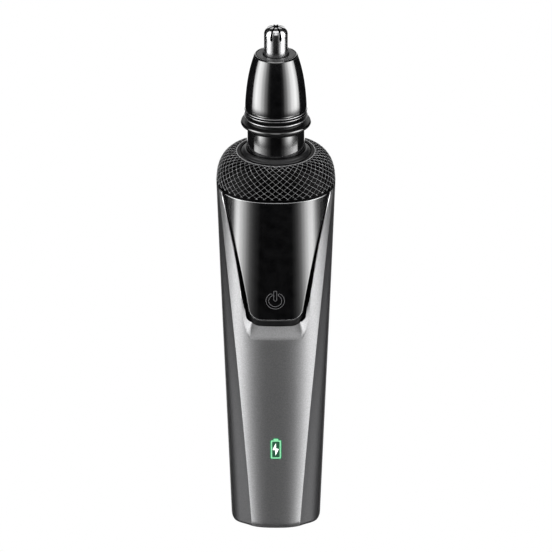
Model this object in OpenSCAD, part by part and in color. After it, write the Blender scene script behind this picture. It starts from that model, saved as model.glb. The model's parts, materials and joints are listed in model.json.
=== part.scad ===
// Nose hair trimmer: tapered handle with a hinged press panel, knurled shoulder,
// pull-off cutting head with a twist-and-lift cap, motor drive and battery.
// Millimetres. +Z runs up the handle to the cutter tip, the front faces -Y,
// and the origin is the centre of the flat base.

/* [Body] */
// Height of the shell's top edge above the base
shell_top = 114.6; // [114.2:0.1:115]
// Half the shell's width at the base
half_w_bottom = 14.0; // [13.9:0.05:14.4]
// Half the shell's width at its top edge
half_w_top = 18.03; // [17.9:0.01:18.4]
// Half the shell's depth at the base
half_d_bottom = 12.3; // [12.2:0.05:12.8]
// Half the shell's depth at its top edge
half_d_top = 17.2; // [17.1:0.05:17.6]
// Thickness of the shell's wall
wall = 1.6; // [1.4:0.05:1.6]
// Height of the base cap's visible rim
base_rim = 0.7; // [0.5:0.05:0.9]

/* [Front panel] */
// Height of the panel's lower edge
panel_bottom = 74.3; // [74:0.1:74.8]
// Half the panel's width at its lower end
panel_half_w = 8.25; // [8:0.05:8.4]
// Corner radius at the panel's lower end
panel_corner = 3.0; // [2.4:0.1:3.4]
// Thickness of the panel
panel_t = 1.6; // [1.3:0.05:1.6]

/* [Shoulder and socket] */
// Height of the knurled shoulder's top land
shoulder_top = 124.3; // [124:0.1:124.6]
// Radius of the shoulder's top land
shoulder_r = 11.77; // [11.5:0.01:12.2]
// Radius of the socket that takes the cutting head
socket_r = 8.84; // [8.82:0.01:8.9]

/* [Cutting head] */
// Radius of the head's neck
neck_r = 8.74; // [8.6:0.01:8.75]
// Radius of the cap's lower lip
cap_r = 9.5; // [9.4:0.01:9.6]
// Height of the cap's flat top
cap_top = 155.7; // [155.4:0.05:156]
// Radius of the cutter tube
tip_r = 3.58; // [3.55:0.01:3.62]
// Height of the cutter tip
tip_top = 164.4; // [164.2:0.05:164.8]
// Number of slots in the cutter tip
tip_slots = 8; // [6:1:10]
// Width of each slot in the cutter tip
slot_w = 0.5; // [0.35:0.05:0.6]

/* [Drive and power] */
// Radius of the motor can
motor_r = 10.2; // [10:0.05:10.2]
// Half the distance across the motor can's flats
motor_flat = 7.7; // [7.5:0.05:7.7]
// Radius of the motor shaft
shaft_r = 1.0; // [0.9:0.05:1]
// Radius of the cutter shaft
cutter_shaft_r = 1.1; // [1:0.05:1.1]
// Radius of the battery cell
cell_r = 7.1; // [6.8:0.05:7.1]
// Height of the battery cell's upper contact
cell_top = 62.0; // [60:0.5:62]

/* [Hidden] */
$fn = 64;

// Places shared by several pieces
base_screw_x = 9.2;
socket_screw_x = 7.4;
motor_screw_x = 6;
terminal_x = 5;             // motor terminals and their leads
port_lead_x = 3.45;
battery_lead_x = 5.4;
board_screw_zs = [20, 64.9];
cell_y = 2.2;               // axis of the battery cell
board_back = -9.4;
board_t = 1;
board_front = board_back - board_t;
lead_end_y = board_back + 0.02;
switch_z = 81.5;
hinge_y = -13.0;
hinge_z = 111;
pole_angles = [0, 120, 240];
key_angles = [30, 150, 270];
press_fit = 0.01;           // clearance of a bore on its shaft
lead_r = 0.4;

// Shared colours
screw_steel = [0.7, 0.7, 0.72];
shaft_steel = [0.8, 0.8, 0.82];
bronze = [0.72, 0.56, 0.3];
board_green = [0.04, 0.22, 0.12];
lead_red = [0.7, 0.08, 0.06];
lead_black = [0.05, 0.05, 0.05];

// ---- section of the handle -------------------------------------------------
// The front and back bands follow one soft superellipse. A sloping crease on
// each side ends the band, and a tauter curve carries the section round the
// side of the handle.
band_reach = 18.2;   // half width of the superellipse
band_steps = 6;
side_steps = 8;
shell_levels = [8, 20, 34, 48, 60, 70, 80, 90, 100, 108];

function half_d(z) = half_d_bottom + (half_d_top - half_d_bottom) * z / shell_top;
function half_w(z) = half_w_bottom + (half_w_top - half_w_bottom) * z / shell_top;
function exponent(z) = 2.5 - 0.2 * z / shell_top;
function band_y(x, z) = half_d(z)
  * pow(max(1 - pow(abs(x) / band_reach, exponent(z)), 0.0001), 1 / exponent(z));
function band_slope(x, z) = let (share = abs(x) / band_reach)
  atan(half_d(z) / band_reach * pow(share, exponent(z) - 1)
       * pow(1 - pow(share, exponent(z)), 1 / exponent(z) - 1));
function crease_x(z) = 7.5 + 0.066 * z + 0.00017 * z * z;
function bezier(ctrl, t) = ctrl[0] * pow(1 - t, 3) + 3 * ctrl[1] * t * pow(1 - t, 2)
  + 3 * ctrl[2] * t * t * (1 - t) + ctrl[3] * pow(t, 3);
// Control points of the side curve, from the crease to the widest point.
function side_ctrl(z) =
  let (
    x = crease_x(z),
    y = band_y(x, z),
    width = half_w(z),
    angle = min(band_slope(x, z) + 12, 88),
    reach = 0.38 * norm([width - x, y]))
  [[x, y], [x + reach * cos(angle), y - reach * sin(angle)], [width, 0.85 * y], [width, 0]];
function quarter(z) = concat(
  [for (i = [0:band_steps]) let (x = crease_x(z) * i / band_steps) [x, band_y(x, z)]],
  [for (i = [1:side_steps]) bezier(side_ctrl(z), i / side_steps)]);
// Whole ring from a quarter, anticlockwise from +X.
function full_ring(arc) = let (last = len(arc) - 1) concat(
  [for (i = [last:-1:0]) arc[i]],
  [for (i = [1:last]) [-arc[i][0], arc[i][1]]],
  [for (i = [last - 1:-1:0]) [-arc[i][0], -arc[i][1]]],
  [for (i = [1:last - 1]) [arc[i][0], -arc[i][1]]]);
function shrink(ring, inset) = let (n = len(ring)) [for (i = [0:n - 1])
  let (chord = ring[(i + 1) % n] - ring[(i + n - 1) % n], size = norm(chord))
  [ring[i][0] - inset * chord[1] / size, ring[i][1] + inset * chord[0] / size]];
function section(z, inset = 0) = shrink(full_ring(quarter(z)), inset);

// Two triangles of a four-sided face.
function quad(a, b, c, d) = [[a, b, c], [a, c, d]];

// Solid through a stack of rings with equal point counts.
module loft(rings) {
  n = len(rings[0]);
  last = len(rings) - 1;
  polyhedron(
    points = [for (ring = rings) each ring],
    faces = concat(
      [[for (i = [0:n - 1]) i]],
      [for (k = [0:last - 1]) for (i = [0:n - 1]) let (j = (i + 1) % n)
        each quad(k * n + i, (k + 1) * n + i, (k + 1) * n + j, k * n + j)],
      [[for (i = [n - 1:-1:0]) last * n + i]]));
}
module section_loft(levels, inset = 0) {
  loft([for (z = levels) [for (p = section(z, inset)) [p[0], p[1], z]]]);
}
// Straight prism with the section that the handle has at the height at_z.
module prism(z0, z1, inset, at_z) {
  translate([0, 0, z0]) linear_extrude(z1 - z0) polygon(section(at_z, inset));
}

// Points on the front band, sunk by depth. Each row is [z, half width].
function band_points(rows, depth, columns) = [for (row = rows) for (i = [0:columns])
  let (x = row[1] * (2 * i / columns - 1)) [x, depth - band_y(x, row[0]), row[0]]];
// Slab that follows the front band, with its own rows and depth for each face.
module band_slab(outer_rows, outer_depth, inner_rows, inner_depth, columns = 12) {
  stride = columns + 1;
  last = len(outer_rows) - 1;
  inner = (last + 1) * stride;   // index of the inner face's first point
  polyhedron(
    points = concat(
      band_points(outer_rows, outer_depth, columns),
      band_points(inner_rows, inner_depth, columns)),
    faces = concat(
      // outer face
      [for (j = [0:last - 1]) for (i = [0:columns - 1]) let (p = j * stride + i)
        each quad(p, p + stride, p + stride + 1, p + 1)],
      // inner face
      [for (j = [0:last - 1]) for (i = [0:columns - 1]) let (p = inner + j * stride + i)
        each quad(p, p + 1, p + stride + 1, p + stride)],
      // -X edge
      [for (j = [0:last - 1]) let (p = j * stride)
        each quad(inner + p, inner + p + stride, p + stride, p)],
      // +X edge
      [for (j = [0:last - 1]) let (p = j * stride + columns)
        each quad(p, p + stride, inner + p + stride, inner + p)],
      // lower edge
      [for (i = [0:columns - 1]) each quad(i, i + 1, inner + i + 1, inner + i)],
      // upper edge
      [for (i = [0:columns - 1]) let (p = last * stride + i)
        each quad(p, inner + p, inner + p + 1, p + 1)]));
}
// Band slab with the same rows on both faces.
module even_slab(rows, outer_depth, inner_depth, columns = 12) {
  band_slab(rows, outer_depth, rows, inner_depth, columns);
}
function level_rows(z0, z1, half_width) = [[z0, half_width], [z1, half_width]];

// ---- outline of the front panel and its recess -----------------------------
rim_depth = 1.25;
rim_overrun = 0.6;   // how far the rim's cut is carried past the surface

function panel_w(z) = let (rise = z - 78.7)
  panel_half_w + 0.165 * rise + 0.0013 * rise * rise;
function panel_gap(z) = z > 98.6 ? 0.7 - 0.3 * (z - 98.6) / 16
  : 0.7 + 0.047 * (98.6 - z);
// Half width at z: the panel's, plus a share of the gap, plus a fixed amount.
function outline_w(z, gap_share, extra) =
  panel_w(z) + gap_share * panel_gap(max(z, 72)) + extra;
// Rows of an outline with a rounded lower end.
function outline(bottom, corner, top, gap_share = 0, extra = 0) = concat(
  [for (a = [0:15:75]) let (z = bottom + corner * (1 - cos(a)))
    [z, outline_w(z, gap_share, extra) - corner * (1 - sin(a))]],
  [for (i = [0:8]) let (z = bottom + corner + (top - bottom - corner) * i / 8)
    [z, outline_w(z, gap_share, extra)]]);
gap_rows = outline(72.35, 4.3, shell_top + 3, 1);
// Half width of the rim at the surface: close to the gap up the sides, drawn in
// to a corner at the foot of the sloping ledge.
function rim_w(z) = let (drop = max(78 - z, 0), side_z = max(z, 78))
  panel_w(side_z) + panel_gap(side_z) + 0.36 + 0.2 * max(0, min(1, (84 - z) / 6))
  - 0.088 * drop - 0.000126 * pow(drop, 4);
// Rows of [z, half width]; as many as gap_rows has.
rim_rows = concat(
  [[67.6, 6.4], [67.66, 7.3], [67.82, 7.95]],
  [for (z = [68.5, 69.8, 71.2]) [z, rim_w(z)]],
  [for (i = [0:8]) let (z = 72.6 + (shell_top + 3 - 72.6) * i / 8) [z, rim_w(z)]]);
// The same rim carried on past the surface, so that one cut makes it.
rim_out = gap_rows + (rim_rows - gap_rows) * (rim_depth + rim_overrun) / rim_depth;

// ---- small shared shapes ---------------------------------------------------
// Lower edge of a span that starts at near on the + side, or of its mirror image.
function mirrored(side, near, span) = side > 0 ? near : -near - span;
// Copies of the children at x and -x.
module pair(x, z = 0) {
  for (s = [-1, 1]) translate([s * x, 0, z]) children();
}
// Pan-head screw with its head's underside at the origin and its shank along -Z.
module screw(r, length, head_r, head_h) {
  cross_l = head_r * 1.24;
  cross_w = 0.28;
  cross_z = head_h * 0.45;
  difference() {
    rotate_extrude() polygon([[0, -length], [r * 0.5, -length], [r, -length + r], [r, 0],
      [head_r, 0], [head_r, cross_z], [head_r * 0.72, head_h], [0, head_h]]);
    translate([-cross_l / 2, -cross_w / 2, cross_z]) cube([cross_l, cross_w, head_h]);
    translate([-cross_w / 2, -cross_l / 2, cross_z]) cube([cross_w, cross_l, head_h]);
  }
}
module tube(outer_r, inner_r, z0, z1) {
  translate([0, 0, z0]) difference() {
    cylinder(r = outer_r, h = z1 - z0);
    translate([0, 0, -1]) cylinder(r = inner_r, h = z1 - z0 + 2);
  }
}
// Round bar cut by two flats, as a motor can is.
module flatted(r, flat, z0, z1) {
  intersection() {
    translate([0, 0, z0]) cylinder(r = r, h = z1 - z0);
    translate([-r - 1, -flat, z0 - 1]) cube([2 * r + 2, 2 * flat, z1 - z0 + 2]);
  }
}
module stadium(width, depth, z0, z1) {
  straight = width - depth;
  translate([-straight / 2, -depth / 2, z0]) cube([straight, depth, z1 - z0]);
  pair(straight / 2, z0) cylinder(r = depth / 2, h = z1 - z0);
}
// Rod that runs forward from y0 to y1.
module rod_y(x, y0, y1, z, r = lead_r) {
  translate([x, y0, z]) rotate([90, 0, 0]) cylinder(r = r, h = y0 - y1);
}
// Rod on the hinge axis that runs from x towards +X.
module hinge_rod(x, r, length) {
  translate([x, hinge_y, hinge_z]) rotate([0, 90, 0]) cylinder(r = r, h = length);
}
// Turns a flat sign to lie on the front at the height z.
module on_front(z) {
  translate([0, -half_d(z) - 0.02, z])
    rotate([90 + atan((half_d_top - half_d_bottom) / shell_top), 0, 0]) children();
}

// ---- handle ----------------------------------------------------------------
window_bottom = 25.6;
window_top = 32.1;
window_half_w = 1.575;
nub_top = 32.7;        // the window's narrow upper end
nub_half_w = 0.75;
window_clear = 0.04;
side_rib_x = 12.15;
rib_t = 0.8;
rib_end = 0.5;         // height of the blocks that end a rib
ring_bottom = 114.9;
seal_z = [1.85, 2.95]; // base seal, in the groove of the base cap

// One moulded tube with a notch in its front for the press panel, a sloping
// rim round the notch and guide ribs inside.
module body_shell() {
  color([0.55, 0.56, 0.58]) difference() {
    union() {
      difference() {
        section_loft(concat([base_rim], shell_levels, [shell_top]));
        section_loft(concat([-1], shell_levels, [shell_top + 1]), wall);
      }
      side_ribs();
      back_ribs();
    }
    even_slab(gap_rows, -4, 6);
    band_slab(rim_out, -rim_overrun, gap_rows, rim_depth);
    window_cut();
  }
}
module side_ribs() {
  low_w = half_w(14) - 0.8 - side_rib_x;
  high_w = half_w(100) - 0.8 - side_rib_x;
  for (sx = [-1, 1]) for (sy = [-1, 1]) hull() {
    translate([mirrored(sx, side_rib_x, low_w), mirrored(sy, 3.4, rib_t), 14])
      cube([low_w, rib_t, rib_end]);
    translate([mirrored(sx, side_rib_x, high_w), mirrored(sy, 3.4, rib_t), 100 - rib_end])
      cube([high_w, rib_t, rib_end]);
  }
}
module back_ribs() {
  for (s = [-1, 1]) for (ends = [[14, 60], [66, 100]]) hull() {
    translate([s * 6.5 - rib_t / 2, band_y(6.9, ends[0]) - 2.1, ends[0]])
      cube([rib_t, 1.3, rib_end]);
    translate([s * 6.5 - rib_t / 2, band_y(6.9, ends[1]) - 2.1, ends[1] - rib_end])
      cube([rib_t, 1.3, rib_end]);
  }
}
module window_cut() {
  even_slab(level_rows(window_bottom - window_clear, window_top + window_clear,
    window_half_w + window_clear), -1, 4, 4);
  even_slab(level_rows(window_top - 0.1, nub_top + window_clear,
    nub_half_w + window_clear), -1, 4, 4);
}
// Flat foot that closes the handle, with the charging port through it.
module base_cap() {
  color([0.05, 0.05, 0.055]) difference() {
    union() {
      prism(0, base_rim - 0.03, 0.06, 0.2);
      prism(base_rim - 0.04, 1.8, wall + 0.12, 0.7);
      prism(1.79, 3.01, wall + 1.2, 0.7);
      prism(3.0, 4.2, wall + 0.12, 0.7);
      for (sy = [-1, 1]) translate([0, sy * 3.4, 0]) pair(5.5, 4.1) cylinder(r = 1, h = 4.0);
    }
    stadium(9.5, 3.7, -1, 5);
    pair(base_screw_x, -1) {
      cylinder(r = 1.05, h = 7);
      cylinder(r = 2.1, h = 2.7);
    }
  }
}
module base_seal() {
  color([0.12, 0.12, 0.12]) difference() {
    prism(seal_z[0], seal_z[1], wall + 0.06, 0.7);
    prism(1.0, 4.0, wall + 1.15, 0.7);
  }
}
module base_screws() {
  color(screw_steel) pair(base_screw_x, 1.68) rotate([180, 0, 0])
    screw(r = 0.9, length = 7.6, head_r = 1.9, head_h = 1.2);
}
// Moulded skeleton that carries the cell, the motor and the board.
module inner_frame() {
  color([0.16, 0.17, 0.18]) difference() {
    union() {
      frame_decks();
      for (s = [-1, 1]) {
        // side rails and their stubs towards the cell
        translate([mirrored(s, 10.6, 1.3), -3, 11.5]) cube([1.3, 6, 93.6]);
        for (z = [16, 34, 56]) translate([mirrored(s, 7.6, 3.1), 2.2, z]) cube([3.1, 0.8, 3]);
      }
      pair(base_screw_x, 4.4) cylinder(r = 2.2, h = 6);
      // half-round cradle behind the cell
      intersection() {
        translate([0, cell_y, 0]) tube(8.25, 7.25, 14, 60);
        translate([-10, cell_y, 10]) cube([20, 12, 60]);
      }
      // cradles round the motor
      for (z = [70, 92]) translate([-11.9, -9.2, z]) cube([23.8, 18.6, 2]);
      // board posts
      translate([-2, -9.35, 11.5]) cube([4, 3.2, 9.8]);
      translate([-2.4, -9.35, 62.9]) cube([4.8, 4, 3.3]);
    }
    for (z = [69, 91]) flatted(motor_r + 0.1, motor_flat + 0.1, z, z + 4);
    pair(base_screw_x, 3) cylinder(r = 0.95, h = 7);
    pair(port_lead_x, 9) translate([-0.75, -8.4, 0]) cube([1.5, 1.6, 4]);
    pair(socket_screw_x, 104) cylinder(r = 0.85, h = 4);
    translate([0, 0, 104]) cylinder(r = 4, h = 4);
    for (z = board_screw_zs) rod_y(0, -5, -10, z, 0.65);
  }
}
// Cross decks below the cell, between cell and motor, and above the motor.
module frame_decks() {
  intersection() {
    union() {
      prism(10.2, 11.6, 2.3, 10);
      prism(62.9, 64.2, 2.3, 62);
    }
    translate([-11.9, -9.3, 0]) cube([23.8, 30, 80]);
  }
  intersection() {
    prism(105, 106.8, 2.3, 104);
    translate([-12.4, -8.6, 100]) cube([24.8, 30, 10]);
  }
}
// Black liner behind the shell's notch: the dark floor round the panel, with
// the ears that hold the hinge pin.
module panel_frame() {
  ear_x = 5.1;
  ear_w = 1.8;
  color([0.03, 0.03, 0.035]) difference() {
    union() {
      intersection() {
        difference() {
          even_slab(outline(71.2, 4.6, 113.9, 1, 1.1), 1.5, 3.5);
          even_slab(outline(72.6, 4.2, 116, 1, -0.15), 0, 2.6);
          even_slab(level_rows(70, 79, 12.5), 0, 2.6);
        }
        section_loft([70, 80, 90, 100, 108, 114], wall + 0.1);
      }
      for (s = [-1, 1]) hull() {
        translate([mirrored(s, ear_x, ear_w), hinge_y, hinge_z]) rotate([0, 90, 0])
          cylinder(r = 1.25, h = ear_w, $fn = 32);
        translate([mirrored(s, ear_x, ear_w), hinge_y - 0.6, hinge_z - 2.4])
          cube([ear_w, 1.2, 4.6]);
      }
      // small bumps on the liner's inner face
      for (s = [-1, 1]) for (z = [84, 93, 102]) hull() {
        translate([s * 6.6 - 0.5, 3.1 - band_y(6.6, z), z]) cube([1, 0.8, 3]);
        translate([s * 6.6 - 0.5, 3.1 - band_y(6.6, z), z + 1]) cube([1, 1.1, 1]);
      }
    }
    translate([-4.9, -18, 78]) cube([9.8, 12, 40]);
    for (s = [-1, 1]) hinge_rod(s * 6 - 2, 0.68, 4, $fn = 32);
  }
}
module panel_hinge_pin() {
  pin_r = 0.6;
  length = 13.8;
  bevel = 0.15;
  color([0.75, 0.75, 0.77]) translate([-length / 2, hinge_y, hinge_z]) rotate([0, 90, 0])
    rotate_extrude() polygon([[0, 0], [pin_r - bevel, 0], [pin_r, bevel],
      [pin_r, length - bevel], [pin_r - bevel, length], [0, length]]);
}
// Shoulder that runs from the shell's rounded section to a round top land.
module knurled_ring() {
  base = full_ring(quarter(shell_top));
  rise = shoulder_top - ring_bottom;
  color([0.09, 0.09, 0.1]) difference() {
    union() {
      loft([for (k = [0:9]) let (angle = 90 * k / 9)
        [for (p = base)
          let (land = shoulder_r * p / norm(p), at = land + (p - land) * cos(angle))
          [at[0], at[1], ring_bottom + rise * sin(angle)]]]);
      intersection() {
        prism(112.7, 115, wall + 0.3, 112.7);
        translate([-20, -5.5, 110]) cube([40, 40, 6]);
      }
    }
    translate([0, 0, 110]) cylinder(r = 10.6, h = 20);
    translate([0, 0, 110]) cylinder(r = 13.8, h = 7);
  }
}
module shoulder_seal() {
  color([0.04, 0.04, 0.04]) difference() {
    prism(114.63, 114.87, 0.4, shell_top);
    prism(114, 116, 1.5, shell_top);
  }
}
// Socket for the cutting head, with its rounded lip and two inner ribs.
module socket_cup() {
  color([0.06, 0.06, 0.065]) difference() {
    union() {
      // [radius, z]
      rotate_extrude() polygon([[3.5, 110.9], [10.55, 110.9], [10.55, 124.32], [10.2, 124.55],
        [9.85, 124.95], [9.6, 125.2], [9.3, 125.27], [9.02, 125.2], [socket_r, 124.95],
        [socket_r, 112.5], [3.5, 112.5]]);
      for (s = [-1, 1]) translate([mirrored(s, 7.0, 1.9), -1, 112.4]) cube([1.9, 2, 3.9]);
      pair(socket_screw_x, 106.9) cylinder(r = 1.9, h = 4.1);
    }
    pair(socket_screw_x, 106) cylinder(r = 0.78, h = 5.6);
  }
}
module socket_screws() {
  color(screw_steel) pair(socket_screw_x, 104.97) rotate([180, 0, 0])
    screw(r = 0.72, length = 6, head_r = 1.5, head_h = 1.1);
}

// ---- motor -----------------------------------------------------------------
can_bottom = 68.2;
can_top = 98;
can_wall = 0.8;
bush_r = 2.0;
bush_hole_r = bush_r + 0.02;
core_z = [76, 90];

module motor_can() {
  color([0.72, 0.73, 0.74]) difference() {
    union() {
      flatted(motor_r, motor_flat, can_bottom, can_top);
      translate([0, 0, 97.5]) cylinder(r = 3, h = 1.9);
    }
    flatted(motor_r - can_wall, motor_flat - can_wall, 67, 97.2);
    translate([0, 0, 95]) cylinder(r = bush_hole_r, h = 6);
    pair(motor_screw_x, 95) cylinder(r = 0.85, h = 4);
  }
}
module motor_end_cap() {
  color([0.08, 0.08, 0.09]) difference() {
    union() {
      flatted(motor_r, motor_flat, 66.3, can_bottom - 0.05);
      flatted(motor_r - can_wall - 0.05, motor_flat - can_wall - 0.05, 68.1, 69.4);
    }
    translate([0, 0, 66.1]) cylinder(r = bush_hole_r, h = 5);
    translate([0, 0, 68.6]) cylinder(r = 4.2, h = 5);
    pair(terminal_x, 65) translate([-1.1, -0.4, 0]) cube([2.2, 0.8, 6]);
  }
}
module motor_magnets() {
  color([0.25, 0.25, 0.27]) intersection() {
    tube(9.35, 7.1, 74, 92);
    for (s = [-1, 1]) translate([mirrored(s, 4.2, 5.4), -6.6, 73]) cube([5.4, 13.2, 20]);
  }
}
module motor_bushes() {
  color(bronze) for (ends = [[66.4, 68.5], [97.0, 99.4]])
    tube(bush_r, shaft_r + 0.03, ends[0], ends[1]);
}
// Carbon block, upright spring leaf and foot, at the front and the back.
module motor_brushes() {
  color([0.75, 0.5, 0.3]) for (s = [-1, 1]) {
    translate([-0.8, mirrored(s, 2.68, 0.72), 70.2]) cube([1.6, 0.72, 1.9]);
    translate([-0.6, mirrored(s, 3.4, 0.22), 69.6]) cube([1.2, 0.22, 3.0]);
    translate([-0.6, mirrored(s, 3.4, 2.0), 69.45]) cube([1.2, 2.0, 0.2]);
  }
}
module motor_terminals() {
  color([0.8, 0.76, 0.6]) pair(terminal_x, 64.6)
    translate([-1.0, -0.2, 0]) cube([2.0, 0.4, 4.7]);
}
module motor_plate() {
  color([0.5, 0.51, 0.52]) difference() {
    flatted(10.45, motor_flat, can_top + 0.05, 99.6);
    translate([0, 0, 97]) cylinder(r = 3.1, h = 5);
    pair(motor_screw_x, 97) cylinder(r = 0.9, h = 5);
  }
}
module motor_screws() {
  color(screw_steel) pair(motor_screw_x, 99.63)
    screw(r = 0.8, length = 3.4, head_r = 1.5, head_h = 1.0);
}
module damper_sleeve() {
  color([0.1, 0.1, 0.1]) difference() {
    flatted(10.55, 8.2, 75, 91);
    flatted(motor_r + 0.02, motor_flat + 0.02, 74, 92);
  }
}
module motor_shaft() {
  color(shaft_steel) rotate_extrude() polygon([[0, 66.8], [shaft_r - 0.15, 66.8],
    [shaft_r, 66.95], [shaft_r, 106.2], [shaft_r - 0.2, 106.4], [0, 106.4]]);
}
// Hub with three T-shaped poles.
module rotor_core() {
  bore_r = shaft_r + press_fit;
  color([0.45, 0.46, 0.48]) difference() {
    union() {
      tube(2.4, bore_r, core_z[0], core_z[1]);
      intersection() {
        tube(6.7, bore_r, core_z[0], core_z[1]);
        for (a = pole_angles) rotate([0, 0, a]) {
          translate([0, -1.1, 75]) cube([7, 2.2, 16]);
          translate([5.5, -3.6, 75]) cube([2, 7.2, 16]);
        }
      }
    }
    translate([0, 0, 70]) cylinder(r = bore_r, h = 30);
  }
}
module rotor_windings() {
  color([0.72, 0.38, 0.18]) for (a = pole_angles) rotate([0, 0, a]) difference() {
    translate([2.75, -2.0, 74.4]) cube([2.65, 4.0, 17.2]);
    translate([2.0, -1.13, 75.95]) cube([4, 2.26, 14.1]);
  }
}
module commutator() {
  color([0.78, 0.5, 0.28]) difference() {
    tube(2.6, shaft_r + press_fit, 70.0, 73.2);
    for (a = pole_angles) rotate([0, 0, a + 30])
      translate([2.1, -0.15, 69]) cube([1, 0.3, 6]);
  }
}
// Brass spindle pressed on the motor shaft; its hexagon end drives the head.
module drive_spindle() {
  color([0.75, 0.62, 0.35]) difference() {
    union() {
      translate([0, 0, 101.4]) cylinder(r = 3, h = 5.2);
      translate([0, 0, 106.5]) cylinder(r = 1.6, h = 7.0);
      translate([0, 0, 113.4]) cylinder(r = 1.5, h = 5.4, $fn = 6);
    }
    translate([0, 0, 100]) cylinder(r = shaft_r + press_fit, h = 6.5);
  }
}
module spindle_bush() {
  color(bronze) tube(3.45, 1.65, 110.0, 112.3);
}
module spindle_seal() {
  color([0.1, 0.1, 0.1]) tube(3.9, 1.68, 112.55, 113.1);
}

// ---- electronics -----------------------------------------------------------
tab_t = 0.25;
tab_front = -5.6;
tab_w = 1.6;           // width of the upright legs
symbol_z = 29;         // origin of the battery symbol
port_lead_z = 9.56;
port_lead_y = -7.6;    // upright run of the port leads
port_lead_rise = 13;

module main_board() {
  color(board_green) difference() {
    union() {
      translate([-7, board_front, 18]) cube([14, board_t, 42.1]);
      translate([-8.5, board_front, 60]) cube([17, board_t, 44]);
    }
    for (z = board_screw_zs) rod_y(0, -9, -12, z, 0.8);
  }
}
module board_screws() {
  color(screw_steel) for (z = board_screw_zs)
    translate([0, board_front - 0.02, z]) rotate([90, 0, 0])
      screw(r = 0.6, length = 4, head_r = 1.1, head_h = 0.5);
}
// Chips and small parts, each a box of [corner, size].
module board_components() {
  boxes = [
    // back face
    [[-2.5, board_back, 32], [5, 1.1, 5]],
    [[-5.5, board_back, 40], [3.4, 1.0, 4]],
    [[1.2, board_back, 41], [4, 2, 4]],
    [[-5.2, board_back, 47], [2, 0.8, 1.2]],
    [[-5.2, board_back, 49.4], [2, 0.8, 1.2]],
    [[-5.2, board_back, 51.8], [2, 0.8, 1.2]],
    [[2.6, board_back, 47], [1.6, 0.8, 0.9]],
    [[2.6, board_back, 49.4], [1.6, 0.8, 0.9]],
    // front face
    [[-7.4, -11.2, 67.2], [3, 0.8, 2.8]],
    [[4.2, -11.2, 67.2], [3, 0.8, 2.8]],
    [[-6.4, -11.3, 97], [4, 0.9, 4]]];
  color([0.1, 0.1, 0.11]) for (box = boxes) translate(box[0]) cube(box[1]);
}
module switch_body() {
  color([0.2, 0.2, 0.22]) difference() {
    translate([-3, -12.6, switch_z - 3]) cube([6, 2.2, 6]);
    rod_y(0, -11.5, -14.5, switch_z, 1.65);
  }
}
module switch_plunger() {
  color([0.85, 0.83, 0.78]) rod_y(0, -12.1, -13.5, switch_z, 1.6);
}
module indicator_led() {
  color([0.8, 0.9, 0.8]) for (z = [27.0, 30.0])
    translate([-0.65, -11.1, z]) cube([1.3, 0.7, 1.6]);
}
module light_guide() {
  color([0.9, 0.95, 0.92]) translate([-1.5, -11.68, 26]) cube([3, 0.52, 6]);
}
module indicator_window() {
  color([0.05, 0.2, 0.12]) {
    even_slab(level_rows(window_bottom, window_top, window_half_w), 0.03, wall - 0.05, 4);
    even_slab(level_rows(window_top, nub_top, nub_half_w), 0.03, wall - 0.05, 4);
  }
}
// Outline of a cell with a bolt inside, lit from behind.
module battery_symbol() {
  line = 0.5;
  width = 2 * window_half_w;
  height = window_top - window_bottom;
  low = window_bottom - symbol_z;
  color([0.66, 0.95, 0.74]) on_front(symbol_z) linear_extrude(0.05) {
    difference() {
      translate([-width / 2, low]) square([width, height]);
      translate([-width / 2 + line, low + line]) square([width - 2 * line, height - 2 * line]);
    }
    translate([-nub_half_w, 3.1]) square([2 * nub_half_w, 0.6]);
    polygon([[0.35, 1.5], [-0.62, -0.45], [-0.05, -0.7], [0.1, -2.2], [0.98, -0.5],
      [0.35, -0.1]]);
  }
}
module battery_cell() {
  shoulder_z = cell_top - 0.8;
  color([0.15, 0.35, 0.6]) translate([0, cell_y, 0]) rotate_extrude()
    polygon([[0, 12.5], [cell_r - 0.3, 12.5], [cell_r, 12.8], [cell_r, 58.6],
      [cell_r - 0.5, 59.1], [cell_r - 0.5, 59.6], [cell_r, 60.1], [cell_r, cell_top - 1.1],
      [cell_r - 0.3, shoulder_z], [2.8, shoulder_z], [2.8, cell_top], [0, cell_top]]);
}
// Flat strip across each end of the cell, with a leg along the cell's front.
module battery_tabs() {
  color([0.8, 0.79, 0.74]) {
    translate([-6.2, tab_front, 12.2]) cube([8.2, 9.6, tab_t]);
    translate([-6.2, tab_front, 12.2]) cube([tab_w, tab_t, 12]);
    translate([-2, tab_front, cell_top + 0.05]) cube([8.2, 9.6, tab_t]);
    translate([4.6, tab_front, 55.5]) cube([tab_w, tab_t, cell_top + 0.3 - 55.5]);
  }
}
module battery_leads() {
  color(lead_red) rod_y(battery_lead_x, tab_front - 0.02, lead_end_y, 57);
  color(lead_black) rod_y(-battery_lead_x, tab_front - 0.02, lead_end_y, 23);
}
module motor_leads() {
  color(lead_red) rod_y(terminal_x, -0.22, lead_end_y, 65.3);
  color(lead_black) rod_y(-terminal_x, -0.22, lead_end_y, 65.3);
}
module charge_socket() {
  color([0.75, 0.76, 0.77]) difference() {
    stadium(8.94, 3.16, 0.8, 8.1);
    stadium(8.34, 2.56, 0.3, 7.6);
  }
}
module socket_tongue() {
  color([0.07, 0.07, 0.07]) translate([-3.35, -0.35, 3.0]) cube([6.7, 0.7, 4.58]);
}
module port_board() {
  color(board_green) translate([-6.7, -4.6, 8.12]) cube([13.4, 9.2, 1]);
}
module port_leads() {
  color(lead_red) port_lead(port_lead_x);
  color(lead_black) port_lead(-port_lead_x);
}
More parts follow.
